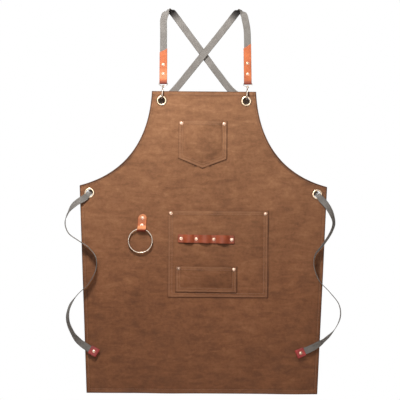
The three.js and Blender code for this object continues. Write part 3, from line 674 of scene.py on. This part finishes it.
STRAP_ROUTES = {
    "left": [
        (-38, 19.5, -77), (-1.5, 18.5, -125.8), (40, 17.8, -181), (75, 17.4, -224), (101, 17.4, -243.5),
        (120, 17, -258.5), (130, 12, -291), (138, 6.4, -334), (166, 5.2, -385),
    ],
    "right": [
        (38, 18, -75.2), (-1.5, 12.5, -125.4), (-41, 15, -175), (-83, 17.4, -226), (-103, 17.4, -244.5),
        (-121, 17, -258.5), (-130, 12, -291), (-138, 6.4, -334), (-166, 5.2, -385),
    ],
}
STRAP_BIGHT = [(112.6, 0.8, -34, 180), (108.6, 2.4, -18, 172), (98.5, 10.5, -2.8, 90), (88, 19.5, -10.5, 12),
               (75, 21, -27, 0)]
STRAP_SLACK = [(203, 5.2, -432), (250, 5.2, -471), (286, 5.2, -492.5), (299.8, 5.4, -500.3, 17),
               (307.6, 5.2, -505.4, 14.5), (312.9, 0.7, -509.1, 14)]


def add_strap(hand, side):
    turn = (lambda a: a) if side < 0 else (lambda a: 360 - a)
    stations = [(*tab_place(hand, side, (0, 0, up)), turn(180)) for up in (12, 60, 146)]
    stations += [(side * x, y, z, turn(a)) for x, y, z, a in STRAP_BIGHT]
    stations += [(*place, turn(0)) for place in STRAP_ROUTES[hand]]
    stations += [(-side * x, y, z, turn(0), *width) for x, y, z, *width in STRAP_SLACK]
    frames = web_frames(stations, 420)
    place = frames[0]
    turned = smooth((place[:, 1] - 9.0) / 5.0) * (1 - smooth((-place[:, 2] - 10.0) / 24.0))  # painted shade on the strap's inner face past the bight, which lies in shadow under the arch
    piece(f"{hand}_strap_webbing", [web_mesh(frames, -turned)], "webbing", [f"{hand}_shoulder_strap"])

    low, high = TABS[hand].tops
    radius = TAB.fold + TAB.leather / 2
    top = (low + high) / 2
    mid, lift, shade = leaf(folded(top, radius, 14, TAB.pinch, 3, 12), TAB.width / 2, TAB.leather)
    x, z = mid[..., 0], mid[..., 2].copy()
    # painted shade on the fold round the hook's loop, which turns down away from the light
    shade -= 1.0 * (1 - smooth((z - 1.0) / 9.0))
    for up in TABS[hand].rivets:
        shade += rivet_dent(x, z - up)
    if hand == "left":  # painted highlight round its lower rivet
        shade += 0.62 * ridge(z, 21, 15.0) * smooth((z - 7) / 5)
    mid[..., 2] += np.clip(z / top, 0, 1) ** 2 * x * (high - low) / TAB.width
    tab = shell(tab_place(hand, side, mid + lift), tab_place(hand, side, mid - lift), shade)
    piece(f"{hand}_tab_leather", [tab], "tan_leather", [f"{hand}_strap_tab"])
    face = radius - TAB.pinch + TAB.leather / 2
    for i, up in enumerate(TABS[hand].rivets):
        parts = [cap_parts(lambda p: tab_place(hand, side, p + (0, -face, up))),
                 plate_parts(lambda p: tab_place(hand, side, p + (0, face, up)))]
        piece(f"{hand}_tab_stud_{i + 1}", parts, "copper_rivet", [f"{hand}_strap_tab_rivet_{i + 1}"])


for hand, side in SIDES:
    add_strap(hand, side)

# ---- snap hooks, eyelets

HOOK_ROUTE = [
    (10.2, 30.4), (5, 32.2), (0, 32.6), (-5, 31.2), (-8.3, 27), (-8.8, 20), (-8.8, 12.5),
    (-6.9, 7.6), (-3, 5.8), (3, 5.8), (8.6, 6.2), (11.6, 8.6), (12.2, 12.2),
]
HOOK_WIRE = 2.3
GATE = Sizes(y=12.2, pivot=27.6, bar_top=22.6, bar_end=15.2, round=2.1, half=2.6, cheek=0.95)
PIN = Sizes(radius=0.8, half=3.1)


def stadium(y0, z0, y1, z1, radius):
    angle = math.atan2(z1 - z0, y1 - y0)
    half_turn = np.linspace(math.pi / 2, math.pi * 1.5, 9)
    return [(y + radius * math.cos(angle + start + a), z + radius * math.sin(angle + start + a))
            for y, z, start in ((y0, z0, 0), (y1, z1, -math.pi)) for a in half_turn]


def bar_end(t):
    """The share of its radius that the hook's bar has at a distance from its rounded end."""
    return np.clip(np.sqrt(np.clip((t + 0.004) / 0.03, 0, 1)), 0.2, 1)


def add_hook(hand, side):
    at = lambda p: hook_place(side, p)
    sideways = lambda p: at(p[:, [2, 0, 1]])  # an outline in (y, z), with levels along x
    upright = lambda p: at(p[:, [0, 2, 1]] * (1, -1, 1))  # a lathe along z, or an outline in (x, z)

    # base: an oval-wire loop for the leather, cast in one with the collar
    corners = [(-12.0, 44.4), (-4.2, 40.2), (4.2, 40.2), (12.0, 44.4), (12.0, 48.8), (-12.0, 48.8)]
    flat = rounded(corners, 1.6, 6)
    loop = leaned(xyz(flat[:, 0], 0, flat[:, 1] - COLLAR_TOP), TABS[hand].lean - HOOK_LEAN, 0, COLLAR_TOP)
    dense = np.concatenate([np.linspace(a, b, 4)[:-1] for a, b in zip(loop, np.roll(loop, -1, 0))])
    ring = tube(at(dense), 0.72, 12, closed=True, flat=1.35)
    collar = lathe(rounded([(1.65, 35.8), (2.9, 35.8), (2.9, 41.2), (1.65, 41.2)], 0.4), 28, upright, closed=True)
    web = plate([(-4.3, 39.9), (4.3, 39.9), (3.2, 41.5), (-3.2, 41.5)], -0.95, 0.95, 0.2, upright)
    piece(f"{hand}_hook_loop", [ring, collar, web], "hook_metal", [f"{hand}_hook_base"])

    # body: the bent bar, its slotted ear for the gate, and the stem that turns in the collar
    t = np.linspace(0, 1, 90)
    route = catmull(HOOK_ROUTE, t)
    clear = 0.62 + 0.38 * smooth((t - 0.02) / 0.07)  # narrower beside the gate's cheeks
    thick = HOOK_WIRE * bar_end(t) * bar_end(1 - t) * clear
    steel = tube(xyz(0.0, route[:, 0], route[:, 1]), thick, 18, up=(1.0, 0.0, 0.0))
    tongue = plate(stadium(9.4, 30.6, GATE.y, GATE.pivot, GATE.round), -1.35, -0.05, 0.2, sideways)
    stem = lathe([(0, 32.0), (1.3, 32.0), (1.3, 41.5), (2.1, 41.6), (2.3, 41.9), (2.2, 42.9), (1.7, 43.1), (0, 43.1)],
                 24, upright)
    piece(f"{hand}_hook_bar", [(at(steel[0]), *steel[1:]), tongue, stem], "hook_metal", [f"{hand}_hook_body"],
          f"{hand}_hook")

    head = [(0, -PIN.half), (PIN.radius * 1.5, -PIN.half), (PIN.radius * 1.5, -PIN.half + 0.35),
            (PIN.radius, -PIN.half + 0.45)]
    across = lambda p: at(p[:, [1, 0, 2]] + (0, GATE.y, GATE.pivot))
    axle = lathe(head + [(r, -h) for r, h in reversed(head)], 20, across)
    piece(f"{hand}_gate_axle", [axle], "hook_metal", [f"{hand}_gate_pin"], f"{hand}_hook")

    turns = np.linspace(0, 2.6 * math.tau, 70)
    coil = xyz(0.45 + 0.85 * turns / turns[-1], GATE.y + 1.45 * np.cos(turns), GATE.pivot + 1.45 * np.sin(turns))
    wire = tube(coil, 0.16, 8, up=(1.0, 0.0, 0.0))
    piece(f"{hand}_gate_coil", [(at(wire[0]), *wire[1:])], "spring_steel", [f"{hand}_gate_spring"], f"{hand}_hook")

    bar = stadium(GATE.y, GATE.bar_top, GATE.y, GATE.bar_end, GATE.round)
    ear = stadium(GATE.y, GATE.pivot, GATE.y, GATE.bar_top - 0.4, GATE.round * 0.98)
    lever = [plate(bar, -GATE.half, GATE.half, 0.45, sideways)]
    lever += [plate(ear, low, low + GATE.cheek, 0.2, sideways) for low in (-GATE.half, GATE.half - GATE.cheek)]
    piece(f"{hand}_gate_lever", lever, "hook_metal", [f"{hand}_hook_gate"], f"{hand}_gate")


for hand, side in SIDES:
    add_hook(hand, side)


def add_eyelet(name, x, z):
    """A rolled grommet, with a domed flange in front and a barrel through the canvas, and a washer behind."""
    bore, barrel, flange = 9.5, 10.3, 14.0
    roll = [(flange - 0.05, -1.25), (flange, -1.7), (flange - 0.45, -2.3), (flange - 1.3, -2.75),
            (flange - 2.3, -3.0), (bore + 1.1, -2.95), (bore + 0.45, -2.6), (bore + 0.05, -2.0), (bore, -1.2)]
    inside = [(bore, 1.6), (bore + 0.15, 2.6), (bore + 0.7, 3.3), (bore + 1.5, 3.5), (bore + 2.3, 3.1),
              (bore + 2.5, 2.4)]
    ring = [(barrel + GAP, 0.95), (flange, 0.95), (flange, 1.75), (barrel + 1.2, 2.15), (barrel + GAP, 2.15)]
    for end, node_end, profile in (("grommet", "eyelet", roll + inside + [(barrel, 1.9), (barrel, -1.2)]),
                                   ("grommet_back", "washer", rounded(ring, 0.3))):
        turned = lathe(profile, 64, lambda p: p + (x, 0, z), closed=True)
        piece(f"{name}_{end}", [turned], "eyelet_metal", [f"{name}_{node_end}"])


EYELETS = (BIB_EYELET, WAIST_EYELET)
for hand, side in SIDES:
    for level, (x, z) in zip(("bib", "waist"), EYELETS):
        add_eyelet(f"{hand}_{level}", side * x, z)

# ---- canvas

BIB_HALF, BIB_TOP = 143.0, -228.6
WAIST_HALF, WAIST = 340.0, -489.0
HEM_HALF, HEM = 317.0, -1059.0
ARMHOLE = np.array([(BIB_HALF, BIB_TOP), (150, -370), (220, -458), (WAIST_HALF, WAIST)], float)
PANEL_FRONT = -1.0
POCKET_WALL = 1.2
SEWN_TOP, SEWN_FOOT, SEWN_ARM, SEWN_SIDE = 8.6, 11.0, 5.0, 7.5  # from the panel's edges to their stitches
POCKET_ROWS, MOUTH_ROW = (4.6, 10.6), 8.6  # from a pocket's edges to its stitches, and from its mouth
HOLE = 11.3  # radius of the holes behind the eyelets


def pocket(left, right, top, side, point, seam, puff, drop):
    """A pocket's measures: its sides end at "side" and its foot at "point"; "drop" is its slope to the right."""
    return Sizes(left=left, right=right, middle=(left + right) / 2, top=top, side=side, point=point, seam=seam,
                 puff=puff, drop=drop, slope=(side - point) / ((right - left) / 2))


POCKETS = {
    "chest": pocket(-67.9, 62.7, top=-310.2, side=-412.8, point=-438.6, seam=12, puff=10, drop=0.014),
    "large": pocket(-95.3, 177.7, top=-557.4, side=-793.6, point=-793.6, seam=13, puff=9, drop=0),
    "small": pocket(-73.3, 92.0, top=-710.0, side=-779.8, point=-779.8, seam=11, puff=8, drop=0.01),
}
STRIP = Sizes(left=-69.0, right=86.3, level=-634.0, height=22.5, thick=2.0, bow=5.6, flat=6.5, drop=0.016)
STRIP_RIVETS = (-60.0, -18.5, 29.7, 78.6)
RING_TAB_AREA = (-212, -132, -684, -562)
CALM_AREAS = [(p.left, p.right, p.point, p.top) for p in (POCKETS["large"], POCKETS["chest"])] + [RING_TAB_AREA]


def bezier(p, t):
    t = t[:, None]
    return (1 - t) ** 3 * p[0] + 3 * t * (1 - t) ** 2 * p[1] + 3 * t * t * (1 - t) * p[2] + t**3 * p[3]


armhole = bezier(ARMHOLE, np.linspace(0, 1, 500))


def half_width(z):
    below = HEM_HALF + (WAIST_HALF - HEM_HALF) * (z - HEM) / (WAIST - HEM)
    return np.where(z < WAIST, below, np.interp(z, armhole[::-1, 1], armhole[::-1, 0]))


def armhole_distance(x, z):
    out = np.full(x.shape, 1e3)
    for px, pz in armhole[::2]:
        np.minimum(out, np.hypot(np.abs(x) - px, z - pz), out=out)
    return out


def side_distance(x, z):
    ax, az = WAIST_HALF, WAIST
    dx, dz = HEM_HALF - WAIST_HALF, HEM - WAIST
    t = np.clip(((np.abs(x) - ax) * dx + (z - az) * dz) / (dx * dx + dz * dz), 0, 1)
    return np.hypot(np.abs(x) - ax - t * dx, z - az - t * dz)


def hems(x, z):
    """(distance from an edge of the panel, where its stitches are), for the top, foot, armhole and side."""
    return ((BIB_TOP - z, SEWN_TOP), (z - HEM, SEWN_FOOT), (armhole_distance(x, z), SEWN_ARM),
            (side_distance(x, z), SEWN_SIDE))


def from_eyelets(x, z):
    return [np.hypot(np.abs(x) - ex, z - ez) for ex, ez in EYELETS]


def drape(x, z):
    """How far the hanging canvas waves to the front or back, flat where the metal and the pockets are sewn on."""
    wave = 2.3 * np.sin(math.tau * (x / 300 + 0.11) + 0.9 * np.sin(z / 120.0)) * smooth((-z - 760) / 260)
    wave += 1.5 * np.sin(math.tau * (x / 168 - z / 940) + 1.1) * smooth((-z - 560) / 330)
    wave += 1.2 * np.sin(z / 43.0 + 0.7 * np.sin(x / 61.0)) * np.sin(x / 97.0 + 0.4)
    wave += 0.5 * np.sin(x / 19.0 + 1.3 * np.sin(z / 37.0)) * np.sin(z / 23.0 + 0.8)
    for away in from_eyelets(x, z):
        wave = wave * smooth((away - 18) / 40)
    for x0, x1, z0, z1 in CALM_AREAS:
        away = np.hypot(np.maximum(np.maximum(x0 - x, x - x1), 0), np.maximum(np.maximum(z0 - z, z - z1), 0))
        wave = wave * smooth((away - 3) / 45)
    return wave


def panel_face(x, z):
    return PANEL_FRONT + drape(x, z)


def pocket_floor(p, x):
    return p.point + p.slope * np.abs(x - p.middle)


def puff_at(p, x, z):
    """How far a pocket stands open, more towards its mouth."""
    low = pocket_floor(p, x) + p.seam
    across = (x - p.left - p.seam) / (p.right - p.left - 2 * p.seam)
    up = np.clip((z - low) / (p.top - low), 0, 1)
    return p.puff * np.clip(np.sin(math.pi * np.clip(across, 0, 1)), 0, 1) ** 0.45 * (1 - (1 - up) ** 3)


def large_face(x, z):
    return PANEL_FRONT - GAP - puff_at(POCKETS["large"], x, z) - POCKET_WALL


def spaced(low, high, step, edge=(0.0, 0.5, 1.4, 3.0)):
    """Levels from low to high, closer together at both ends."""
    edge = np.asarray(edge)
    count = max(2, int(round((high - low - 2 * edge[-1]) / step)))
    even = np.linspace(low + edge[-1], high - edge[-1], count + 1)
    return np.concatenate([low + edge[:-1], even, high - edge[-2::-1]])


def panel_relief(x, z):
    """(how far the front stands out over the hems, shade) at a place on the panel."""
    lines = hems(x, z)
    (top, _), (foot, _), (arm, _), (side, _) = lines
    proud, shade = np.zeros_like(x), np.zeros_like(x)
    for distance, line in lines:
        proud = np.maximum(proud, 0.45 * (1 - smooth((distance - line - 0.4) / 2.2)))
    for distance, line in lines:
        proud -= 0.42 * ridge(distance, line, 1.4)
        # a lighter rubbed band on each hem, and painted shadow along the inside of its fold
        shade += 0.10 * ridge(distance, line * 0.45, line * 0.28) - 0.26 * ridge(distance, line + 1.6, 1.6)
    curl = ridge(z, -430, 45.0)  # the armhole's edge turns away from the light where it curves most
    shade -= 1.05 * (1 - smooth((arm - 1.6 - 1.2 * curl) / (2.6 + 3.6 * curl)))
    # darker worn side edges, and a painted shadow line under the top hem
    shade -= 0.9 * (1 - smooth((side - 1.4) / 2.0)) + 0.3 * ridge(top, 11.2, 2.6)
    shade -= 0.7 * (1 - smooth((np.minimum(top, foot) - 1.0) / 1.8))
    # painted shadow on the canvas round each eyelet's flange
    for away in from_eyelets(x, z):
        shade -= 0.5 * ridge(np.maximum(away, 14.3), 14.3, 2.0)
    return proud, shade


def painted_pocket_shadow(x, z, *names):
    """Painted shadow on the canvas just outside the pockets' folded edges, strongest under their feet and to their
    right.
    """
    dark = np.zeros_like(x)
    for p in (POCKETS[name] for name in names):
        low = pocket_floor(p, np.clip(x, p.left, p.right)) - p.drop * (x - p.middle)
        inside_x = (x > p.left - 1) & (x < p.right + 2)
        inside_z = (z < p.top + 1) & (z > low - 2)
        dark += 1.5 * ridge(low - z, 1.2, 1.9) * inside_x
        dark += 1.2 * ridge(x - p.right, 1.0, 1.7) * inside_z
        dark += 0.35 * ridge(p.left - x, 0.8, 1.4) * inside_z
    return np.clip(dark, 0, 1.5)


def strip_shadow(x, z):
    """The dark line under the lower edge of the leather strip."""
    below = STRIP.level - STRIP.drop * x - STRIP.height / 2 - z
    return 0.9 * smooth((x - STRIP.left) / 4) * smooth((STRIP.right - x) / 4) * ridge(below, 1.0, 1.8)


def add_panel():
    levels = np.concatenate([spaced(HEM, WAIST, 3.6)[:-3], np.arange(WAIST - 1.2, WAIST + 52, 1.3),
                             spaced(WAIST + 54, BIB_TOP, 3.2)[3:]])
    x = half_width(levels)[:, None] * spaced(-WAIST_HALF, WAIST_HALF, 3.7) / WAIST_HALF
    z = np.broadcast_to(levels[:, None], x.shape).copy()
    proud, shade = panel_relief(x, z)
    keep = np.ones((x.shape[0] - 1, x.shape[1] - 1), bool)
    corners = (np.s_[:-1, :-1], np.s_[1:, :-1], np.s_[:-1, 1:], np.s_[1:, 1:])
    for ex, ez in EYELETS:
        for side in (-1, 1):
            away = np.hypot(x - side * ex, z - ez)
            cell = np.logical_or.reduce([(away < HOLE)[corner] for corner in corners])
            keep &= ~cell
            touched = np.zeros(x.shape, bool)
            for corner in corners:
                touched[corner] |= cell
            snap = touched & (away >= HOLE) & (away < 16.5)
            scale = HOLE / away[snap]
            x[snap] = side * ex + (x[snap] - side * ex) * scale
            z[snap] = ez + (z[snap] - ez) * scale
    # painted shadow beside the chest and large pockets
    shade = np.clip(shade - painted_pocket_shadow(x, z, "chest", "large"), -1.5, 1)
    waves = drape(x, z)
    fold = np.zeros_like(x)
    for distance, line in hems(x, z):
        fold = np.maximum(fold, 1 - smooth((distance - line - 1.6) / 1.2))
    for away in from_eyelets(x, z):
        fold = np.maximum(fold, 1 - smooth((away - 19) / 1.5))
    # the back carries the front's shade, weaker, with painted shade along each hem's folded edge
    back_shade = np.clip(shade * 0.6 - 0.3 * (fold > 0.05) * (fold < 0.6), -1, 1)
    front, back = PANEL_FRONT + waves - proud, waves + 0.15 + 0.75 * fold
    cloth = shell(xyz(x, front, z), xyz(x, back, z), shade, keep, 0.35, back_shade)
    return piece("apron_cloth", [cloth], "canvas", ["apron_panel"])


def pocket_relief(p, x, z):
    """(how far the front stands out, shade) over the pocket's turned edges and hem."""
    edge = np.minimum(np.minimum(x - p.left, p.right - x), (z - pocket_floor(p, x)) / math.hypot(1, p.slope))
    mouth = p.top - z
    proud = np.maximum(0.4 * (1 - smooth((edge - 11.4) / 2.0)), 0.4 * (1 - smooth((mouth - 9.4) / 1.8)))
    proud -= 0.34 * ridge(mouth, MOUTH_ROW, 1.1)
    shade = 0.22 * ridge(edge, 2.0, 1.4) + 0.10 * ridge(edge, 7.8, 1.7)
    for line in POCKET_ROWS:
        proud -= 0.34 * ridge(edge, line, 1.1)
        # painted shade in the groove beside each stitch row
        shade -= 0.20 * ridge(edge, line + 1.2, 1.0)
    # a lighter rubbed mouth edge, and painted shade under the mouth's hem
    shade += 0.26 * ridge(mouth, 2.0, 1.6) + 0.1 * ridge(mouth, 6.6, 1.3) - 0.28 * ridge(mouth, 10.2, 1.2)
    shade -= 0.35 * (1 - smooth(np.minimum(edge, mouth) / 0.9))
    return proud, np.clip(shade, -1, 1)


def crumple(p, x, z):
    """Soft creases in the pocket's cloth, none at its seams."""
    side, foot = np.minimum(x - p.left, p.right - x), z - pocket_floor(p, x)
    soft = 0.55 * np.sin(x / 23.0 + 1.4 * np.sin(z / 31.0)) * np.sin(z / 17.0 + 0.9 * np.sin(x / 29.0))
    soft += 0.35 * np.sin((x + z * 0.8) / 11.0 + 0.6 * np.sin(x / 40.0))
    return np.minimum(smooth((side - p.seam) / 25) * smooth((foot - p.seam) / 25) * soft, 0.5) * 0.7


def pocket_cloth(p, backing, x, z):
    """(y of the front, y of the back, shade) at a place given as if the pocket hung straight."""
    proud, shade = pocket_relief(p, x, z)
    rear = backing(x, z - p.drop * (x - p.middle)) - GAP - puff_at(p, x, z) - crumple(p, x, z)
    return rear - POCKET_WALL * 0.8 - proud, rear - 0.15, shade


def add_pocket(name, backing):
    p = POCKETS[name]
    columns = spaced(p.left, p.right, 2.6)
    lift = spaced(0.0, p.top - p.side, 2.6)[:, None] / (p.top - p.side)
    low = pocket_floor(p, columns)
    z = low + (p.top - low) * lift
    x = np.broadcast_to(columns, z.shape)
    front, rear, shade = pocket_cloth(p, backing, x, z)
    hung = z - p.drop * (x - p.middle)
    if name == "large":
        # painted shadow beside the small pocket and under the leather strip
        shade = shade - painted_pocket_shadow(x, hung, "small") - strip_shadow(x, hung)
    cloth = shell(xyz(x, front, hung), xyz(x, rear, hung), shade, bulge=0.4)
    return piece(f"{name}_pocket_cloth", [cloth], "canvas", [f"{name}_pocket"])


STITCH_PITCH, STITCH_HALF, STITCH_RADIUS = 3.6, 1.4, 0.42


def stitching(name, runs, surface):
    """Stitches along runs of (x, z) points, lying on y = surface(x, z)."""
    shape, shape_faces, _, _ = lathe([(0, -1), (0.7, -0.8), (1, -0.3), (1, 0.3), (0.7, 0.8), (0, 1)], 6)
    v, u, w = (shape * (1, 1, 0.8)).T
    w[[0, -1]] = -0.5  # both ends dip into the cloth
    points, faces = [], []
    for run in runs:
        run = np.asarray(run, float)
        length = run_of(run)
        count = max(1, int(length[-1] // STITCH_PITCH))
        middle = (np.arange(count) + 0.5) * length[-1] / count
        ends = []
        for s in (middle - STITCH_HALF, middle + STITCH_HALF):
            x, z = np.interp(s, length, run[:, 0]), np.interp(s, length, run[:, 1])
            ends.append(xyz(x, surface(x, z), z))
        along = unit(ends[1] - ends[0])
        side = unit(np.cross(along, (0.0, -1.0, 0.0)))
        out = np.cross(side, along)
        centre = (ends[0] + ends[1]) / 2 + out * STITCH_RADIUS * 0.35
        for at, *frame_of in zip(centre, side * STITCH_RADIUS, along * STITCH_HALF, out * STITCH_RADIUS):
            base = len(points) * len(shape)
            points.append(at + np.stack([v, u, w], 1) @ np.stack(frame_of))
            faces += [tuple(i + base for i in face) for face in shape_faces]
    return piece(name, [(np.concatenate(points), faces, None, None)], "canvas", finish=THREAD, sharp=80.0)


def inset_armhole(side):
    curve = bezier(ARMHOLE, np.linspace(0, 1, 260))
    direction = unit(np.gradient(curve, axis=0))
    inner = curve + np.stack([direction[:, 1], -direction[:, 0]], 1) * SEWN_ARM
    return inner[(inner[:, 1] < BIB_TOP - 10.0) & (inner[:, 0] < WAIST_HALF - 14.0)] * (side, 1)


def panel_runs():
    top, foot = BIB_TOP - SEWN_TOP, HEM + SEWN_FOOT
    runs = [[(-BIB_HALF + 7, top), (BIB_HALF - 7, top)], [(-HEM_HALF + 9, foot), (HEM_HALF - 9, foot)]]
    for side in (-1, 1):
        runs.append(inset_armhole(side))
        runs.append([(side * (WAIST_HALF - 8.2), WAIST - 12), (side * (HEM_HALF - SEWN_SIDE), HEM + 12)])
    return runs


def add_pocket_stitching(name, backing):
    """Two rows round the sides and foot, and one under the mouth."""
    p = POCKETS[name]
    runs = []
    for inset in POCKET_ROWS:
        left, right, top = p.left + inset, p.right - inset, p.top - 2.5
        places = (left, p.middle, right) if p.slope else (left, right)
        foot = [(x, pocket_floor(p, x) + inset * math.hypot(1, p.slope)) for x in places]
        runs.append([(left, top), *foot, (right, top)])
    runs.append([(x, p.top - MOUTH_ROW) for x in (p.left + 12.5, p.right - 12.5)])
    hung = [[(x, z - p.drop * (x - p.middle)) for x, z in run] for run in runs]
    return stitching(f"{name}_pocket_stitching", hung,
                     lambda x, z: pocket_cloth(p, backing, x, z + p.drop * (x - p.middle))[0])


BACKINGS = {"chest": panel_face, "large": panel_face, "small": large_face}
panel = add_panel()
chest, large, small = (add_pocket(name, backing) for name, backing in BACKINGS.items())
front_hems = stitching("apron_stitching", panel_runs(), lambda x, z: panel_face(x, z) - panel_relief(x, z)[0])
back_hems = stitching("apron_stitching_back", panel_runs(), lambda x, z: drape(x, z) + 1.0)
rows = [add_pocket_stitching(name, backing) for name, backing in BACKINGS.items()]

# ---- pocket rivets, tool strip

RIVET_IN = (6.6, 6.3)
CANVAS_BACK = 0.35


def studs(name, places, front, back, worn=None):
    """Rivets with a cap on y = front(x, z) and a plate on y = back(x, z) at each place; "worn" is a dull one."""
    for i, (x, z) in enumerate(places):
        y0, y1 = float(front(x, z)), float(back(x, z))
        parts = [cap_parts(lambda p: p + (x, y0, z)), plate_parts(lambda p: p + (x, y1, z))]
        if i == worn:
            parts = [(points, faces, shade - 0.7, uv) for points, faces, shade, uv in parts]
        piece(f"{name}_stud_{i + 1}", parts, "copper_rivet", [f"{name}_rivet_{i + 1}"])


canvas_back = lambda x, z: CANVAS_BACK
large_back = lambda x, z: large_face(x, z) + POCKET_WALL
for name, backing in BACKINGS.items():
    p = POCKETS[name]
    places = [(x, p.top - RIVET_IN[1] - p.drop * (x - p.middle))
              for x in (p.left + RIVET_IN[0], p.right - RIVET_IN[0])]
    studs(f"{name}_pocket", places, lambda x, z: backing(x, z) - GAP - POCKET_WALL - 0.45,
          large_back if name == "small" else canvas_back, worn=0 if name == "small" else None)


def strip_bow(x):
    """How far the strip bows out between its rivets, into a loop for a tool."""
    bow = np.zeros_like(x)
    for a, b in zip(STRIP_RIVETS[:-1], STRIP_RIVETS[1:]):
        low, high = a + STRIP.flat, b - STRIP.flat
        t = np.clip((x - low) / (high - low), 0, 1)
        bow = np.maximum(bow, STRIP.bow * np.sin(math.pi * t) ** 0.9 * ((x > low) & (x < high)))
    return bow


def add_strip():
    s = STRIP
    edge, tall, corner = (0.0, 0.3, 0.8, 1.6), s.height / 2, 3.0
    x, up = np.meshgrid(spaced(s.left, s.right, 1.6, edge), spaced(-tall, tall, 1.6, edge))
    from_end = np.minimum(x - s.left, s.right - x)
    short = np.maximum(corner - from_end, 0)
    squeeze = (tall - corner + np.sqrt(np.maximum(corner**2 - short**2, 0))) / tall
    z = s.level - s.drop * x + up * squeeze
    bow = strip_bow(x)
    inside = np.minimum(from_end, tall - np.abs(up))
    half = s.thick / 2 * rim_share(inside, 0.9)
    # painted light where the strip bows out into its loops; darker burnished edges
    shade = 0.2 * bow / s.bow - 0.5 * (1 - smooth(inside / 1.4)) - 0.3 * ridge(inside, 2.6, 0.5)
    places = [(rx, s.level - s.drop * rx) for rx in STRIP_RIVETS]
    for rx, rz in places:
        shade += rivet_dent(x - rx, z - rz)
        half -= 0.25 * ridge(np.hypot(x - rx, z - rz), 0, 5.0)
    middle = large_face(x, z) - GAP - bow - s.thick / 2
    strip = shell(xyz(x, middle - half, z), xyz(x, middle + half, z), shade)
    piece("tool_strip_leather", [strip], "brown_leather", ["tool_strip"])
    studs("tool_strip", places, lambda x, z: large_face(x, z) - GAP - s.thick + 0.1, large_back)


add_strip()

# ---- towel ring

RING = Sizes(x=-172.0, y=-7.1, level=-640.0, outer=34.4, wire=1.75)
RING_TAB = Sizes(x=-166.7, width=24.0, top=-566.8, leather=1.8, fold=4.0, slant=0.07, rivets=(-577.3, -596.8))
RING_FOLD = RING.level + RING.outer - RING.wire - 1.65


def add_towel_ring():
    turn = np.linspace(0, math.tau, 145)[:-1]
    radius = RING.outer - RING.wire
    path = xyz(RING.x + radius * np.cos(turn), RING.y, RING.level + radius * np.sin(turn))
    wire = tube(path, RING.wire, 20, closed=True)
    piece("towel_ring_wire", [wire], "hook_metal", ["towel_ring"], "towel_ring")

    t = RING_TAB
    height = t.top - RING_FOLD
    back = t.fold + t.leather / 2
    front = back - t.leather - 0.15
    rounds = [(front, 11), (front - 1.6, 7.4), (-2.4, 4.6), (-4.5, 1.8), (-4.6, -1.8), (-2.4, -4.3), (1.2, -4.8),
              (4.0, -2.8), (back, 1.5), (back, 9)]
    down = np.concatenate([height - EDGE_ROWS, np.linspace(height - 1.5, 12, 26)[1:]])
    rise = np.concatenate([np.linspace(10, height * 0.8 - 1.5, 16), height * 0.8 - EDGE_ROWS[::-1][1:]])
    rows = np.concatenate([[(front, z) for z in down], catmull(rounds, np.linspace(0, 1, 44)),
                           [(back, z) for z in rise]])
    r = t.width / 2
    half = np.sqrt(r * r - np.clip(rows[:, 1] - (height - r), 0, r - 0.15) ** 2)
    mid, lift, shade = leaf(rows, half, t.leather)
    x, y, z = np.moveaxis(mid, -1, 0)
    # painted light: the whole tab lighter, painted highlights just above the fold and on its upper part, and painted
    # shade at the foot of the fold in front
    shade += 0.15 + 0.85 * ridge(z, 5.5, 4.0) + 0.4 * smooth((z - 26) / 8) - 1.3 * ridge(z, -3.0, 3.4) * (y < 3)
    for level in t.rivets:
        shade += rivet_dent(x, z - (level - RING_FOLD)) * (y < front + 0.5)
    lean_x = lambda z: t.x + t.slant * (z - t.rivets[0])
    place = lambda p: p + xyz(lean_x(p[..., 2] + RING_FOLD), RING.y, RING_FOLD)
    tab = shell(place(mid + lift), place(mid - lift), shade)
    piece("ring_tab_leather", [tab], "tan_leather", ["ring_tab"])
    places = [(lean_x(z), z) for z in t.rivets]
    studs("ring_tab", places, lambda x, z: RING.y + front - t.leather / 2, canvas_back)


add_towel_ring()

# ---- floor


def add_floor():
    lying = lambda p: p[:, [0, 2, 1]]
    points, faces, _, _ = lathe([(0, -1.352), (1.75, -1.352), (1.80, -1.36), (1.80, -1.39)], 96, lying)
    mesh = bpy.data.meshes.new("floor")
    mesh.from_pydata(points, [], [face[::-1] for face in faces])

    def pale(tree, where, connect):
        speck = noise(tree, where, 30.0, 4.0)
        connect(Base_Color=ramp(tree, speck, (0.3, 0.80), (0.7, 0.86)), Roughness=0.7)

    mesh.materials.append(material("pale_floor", pale))
    add_object("floor", mesh)


add_floor()
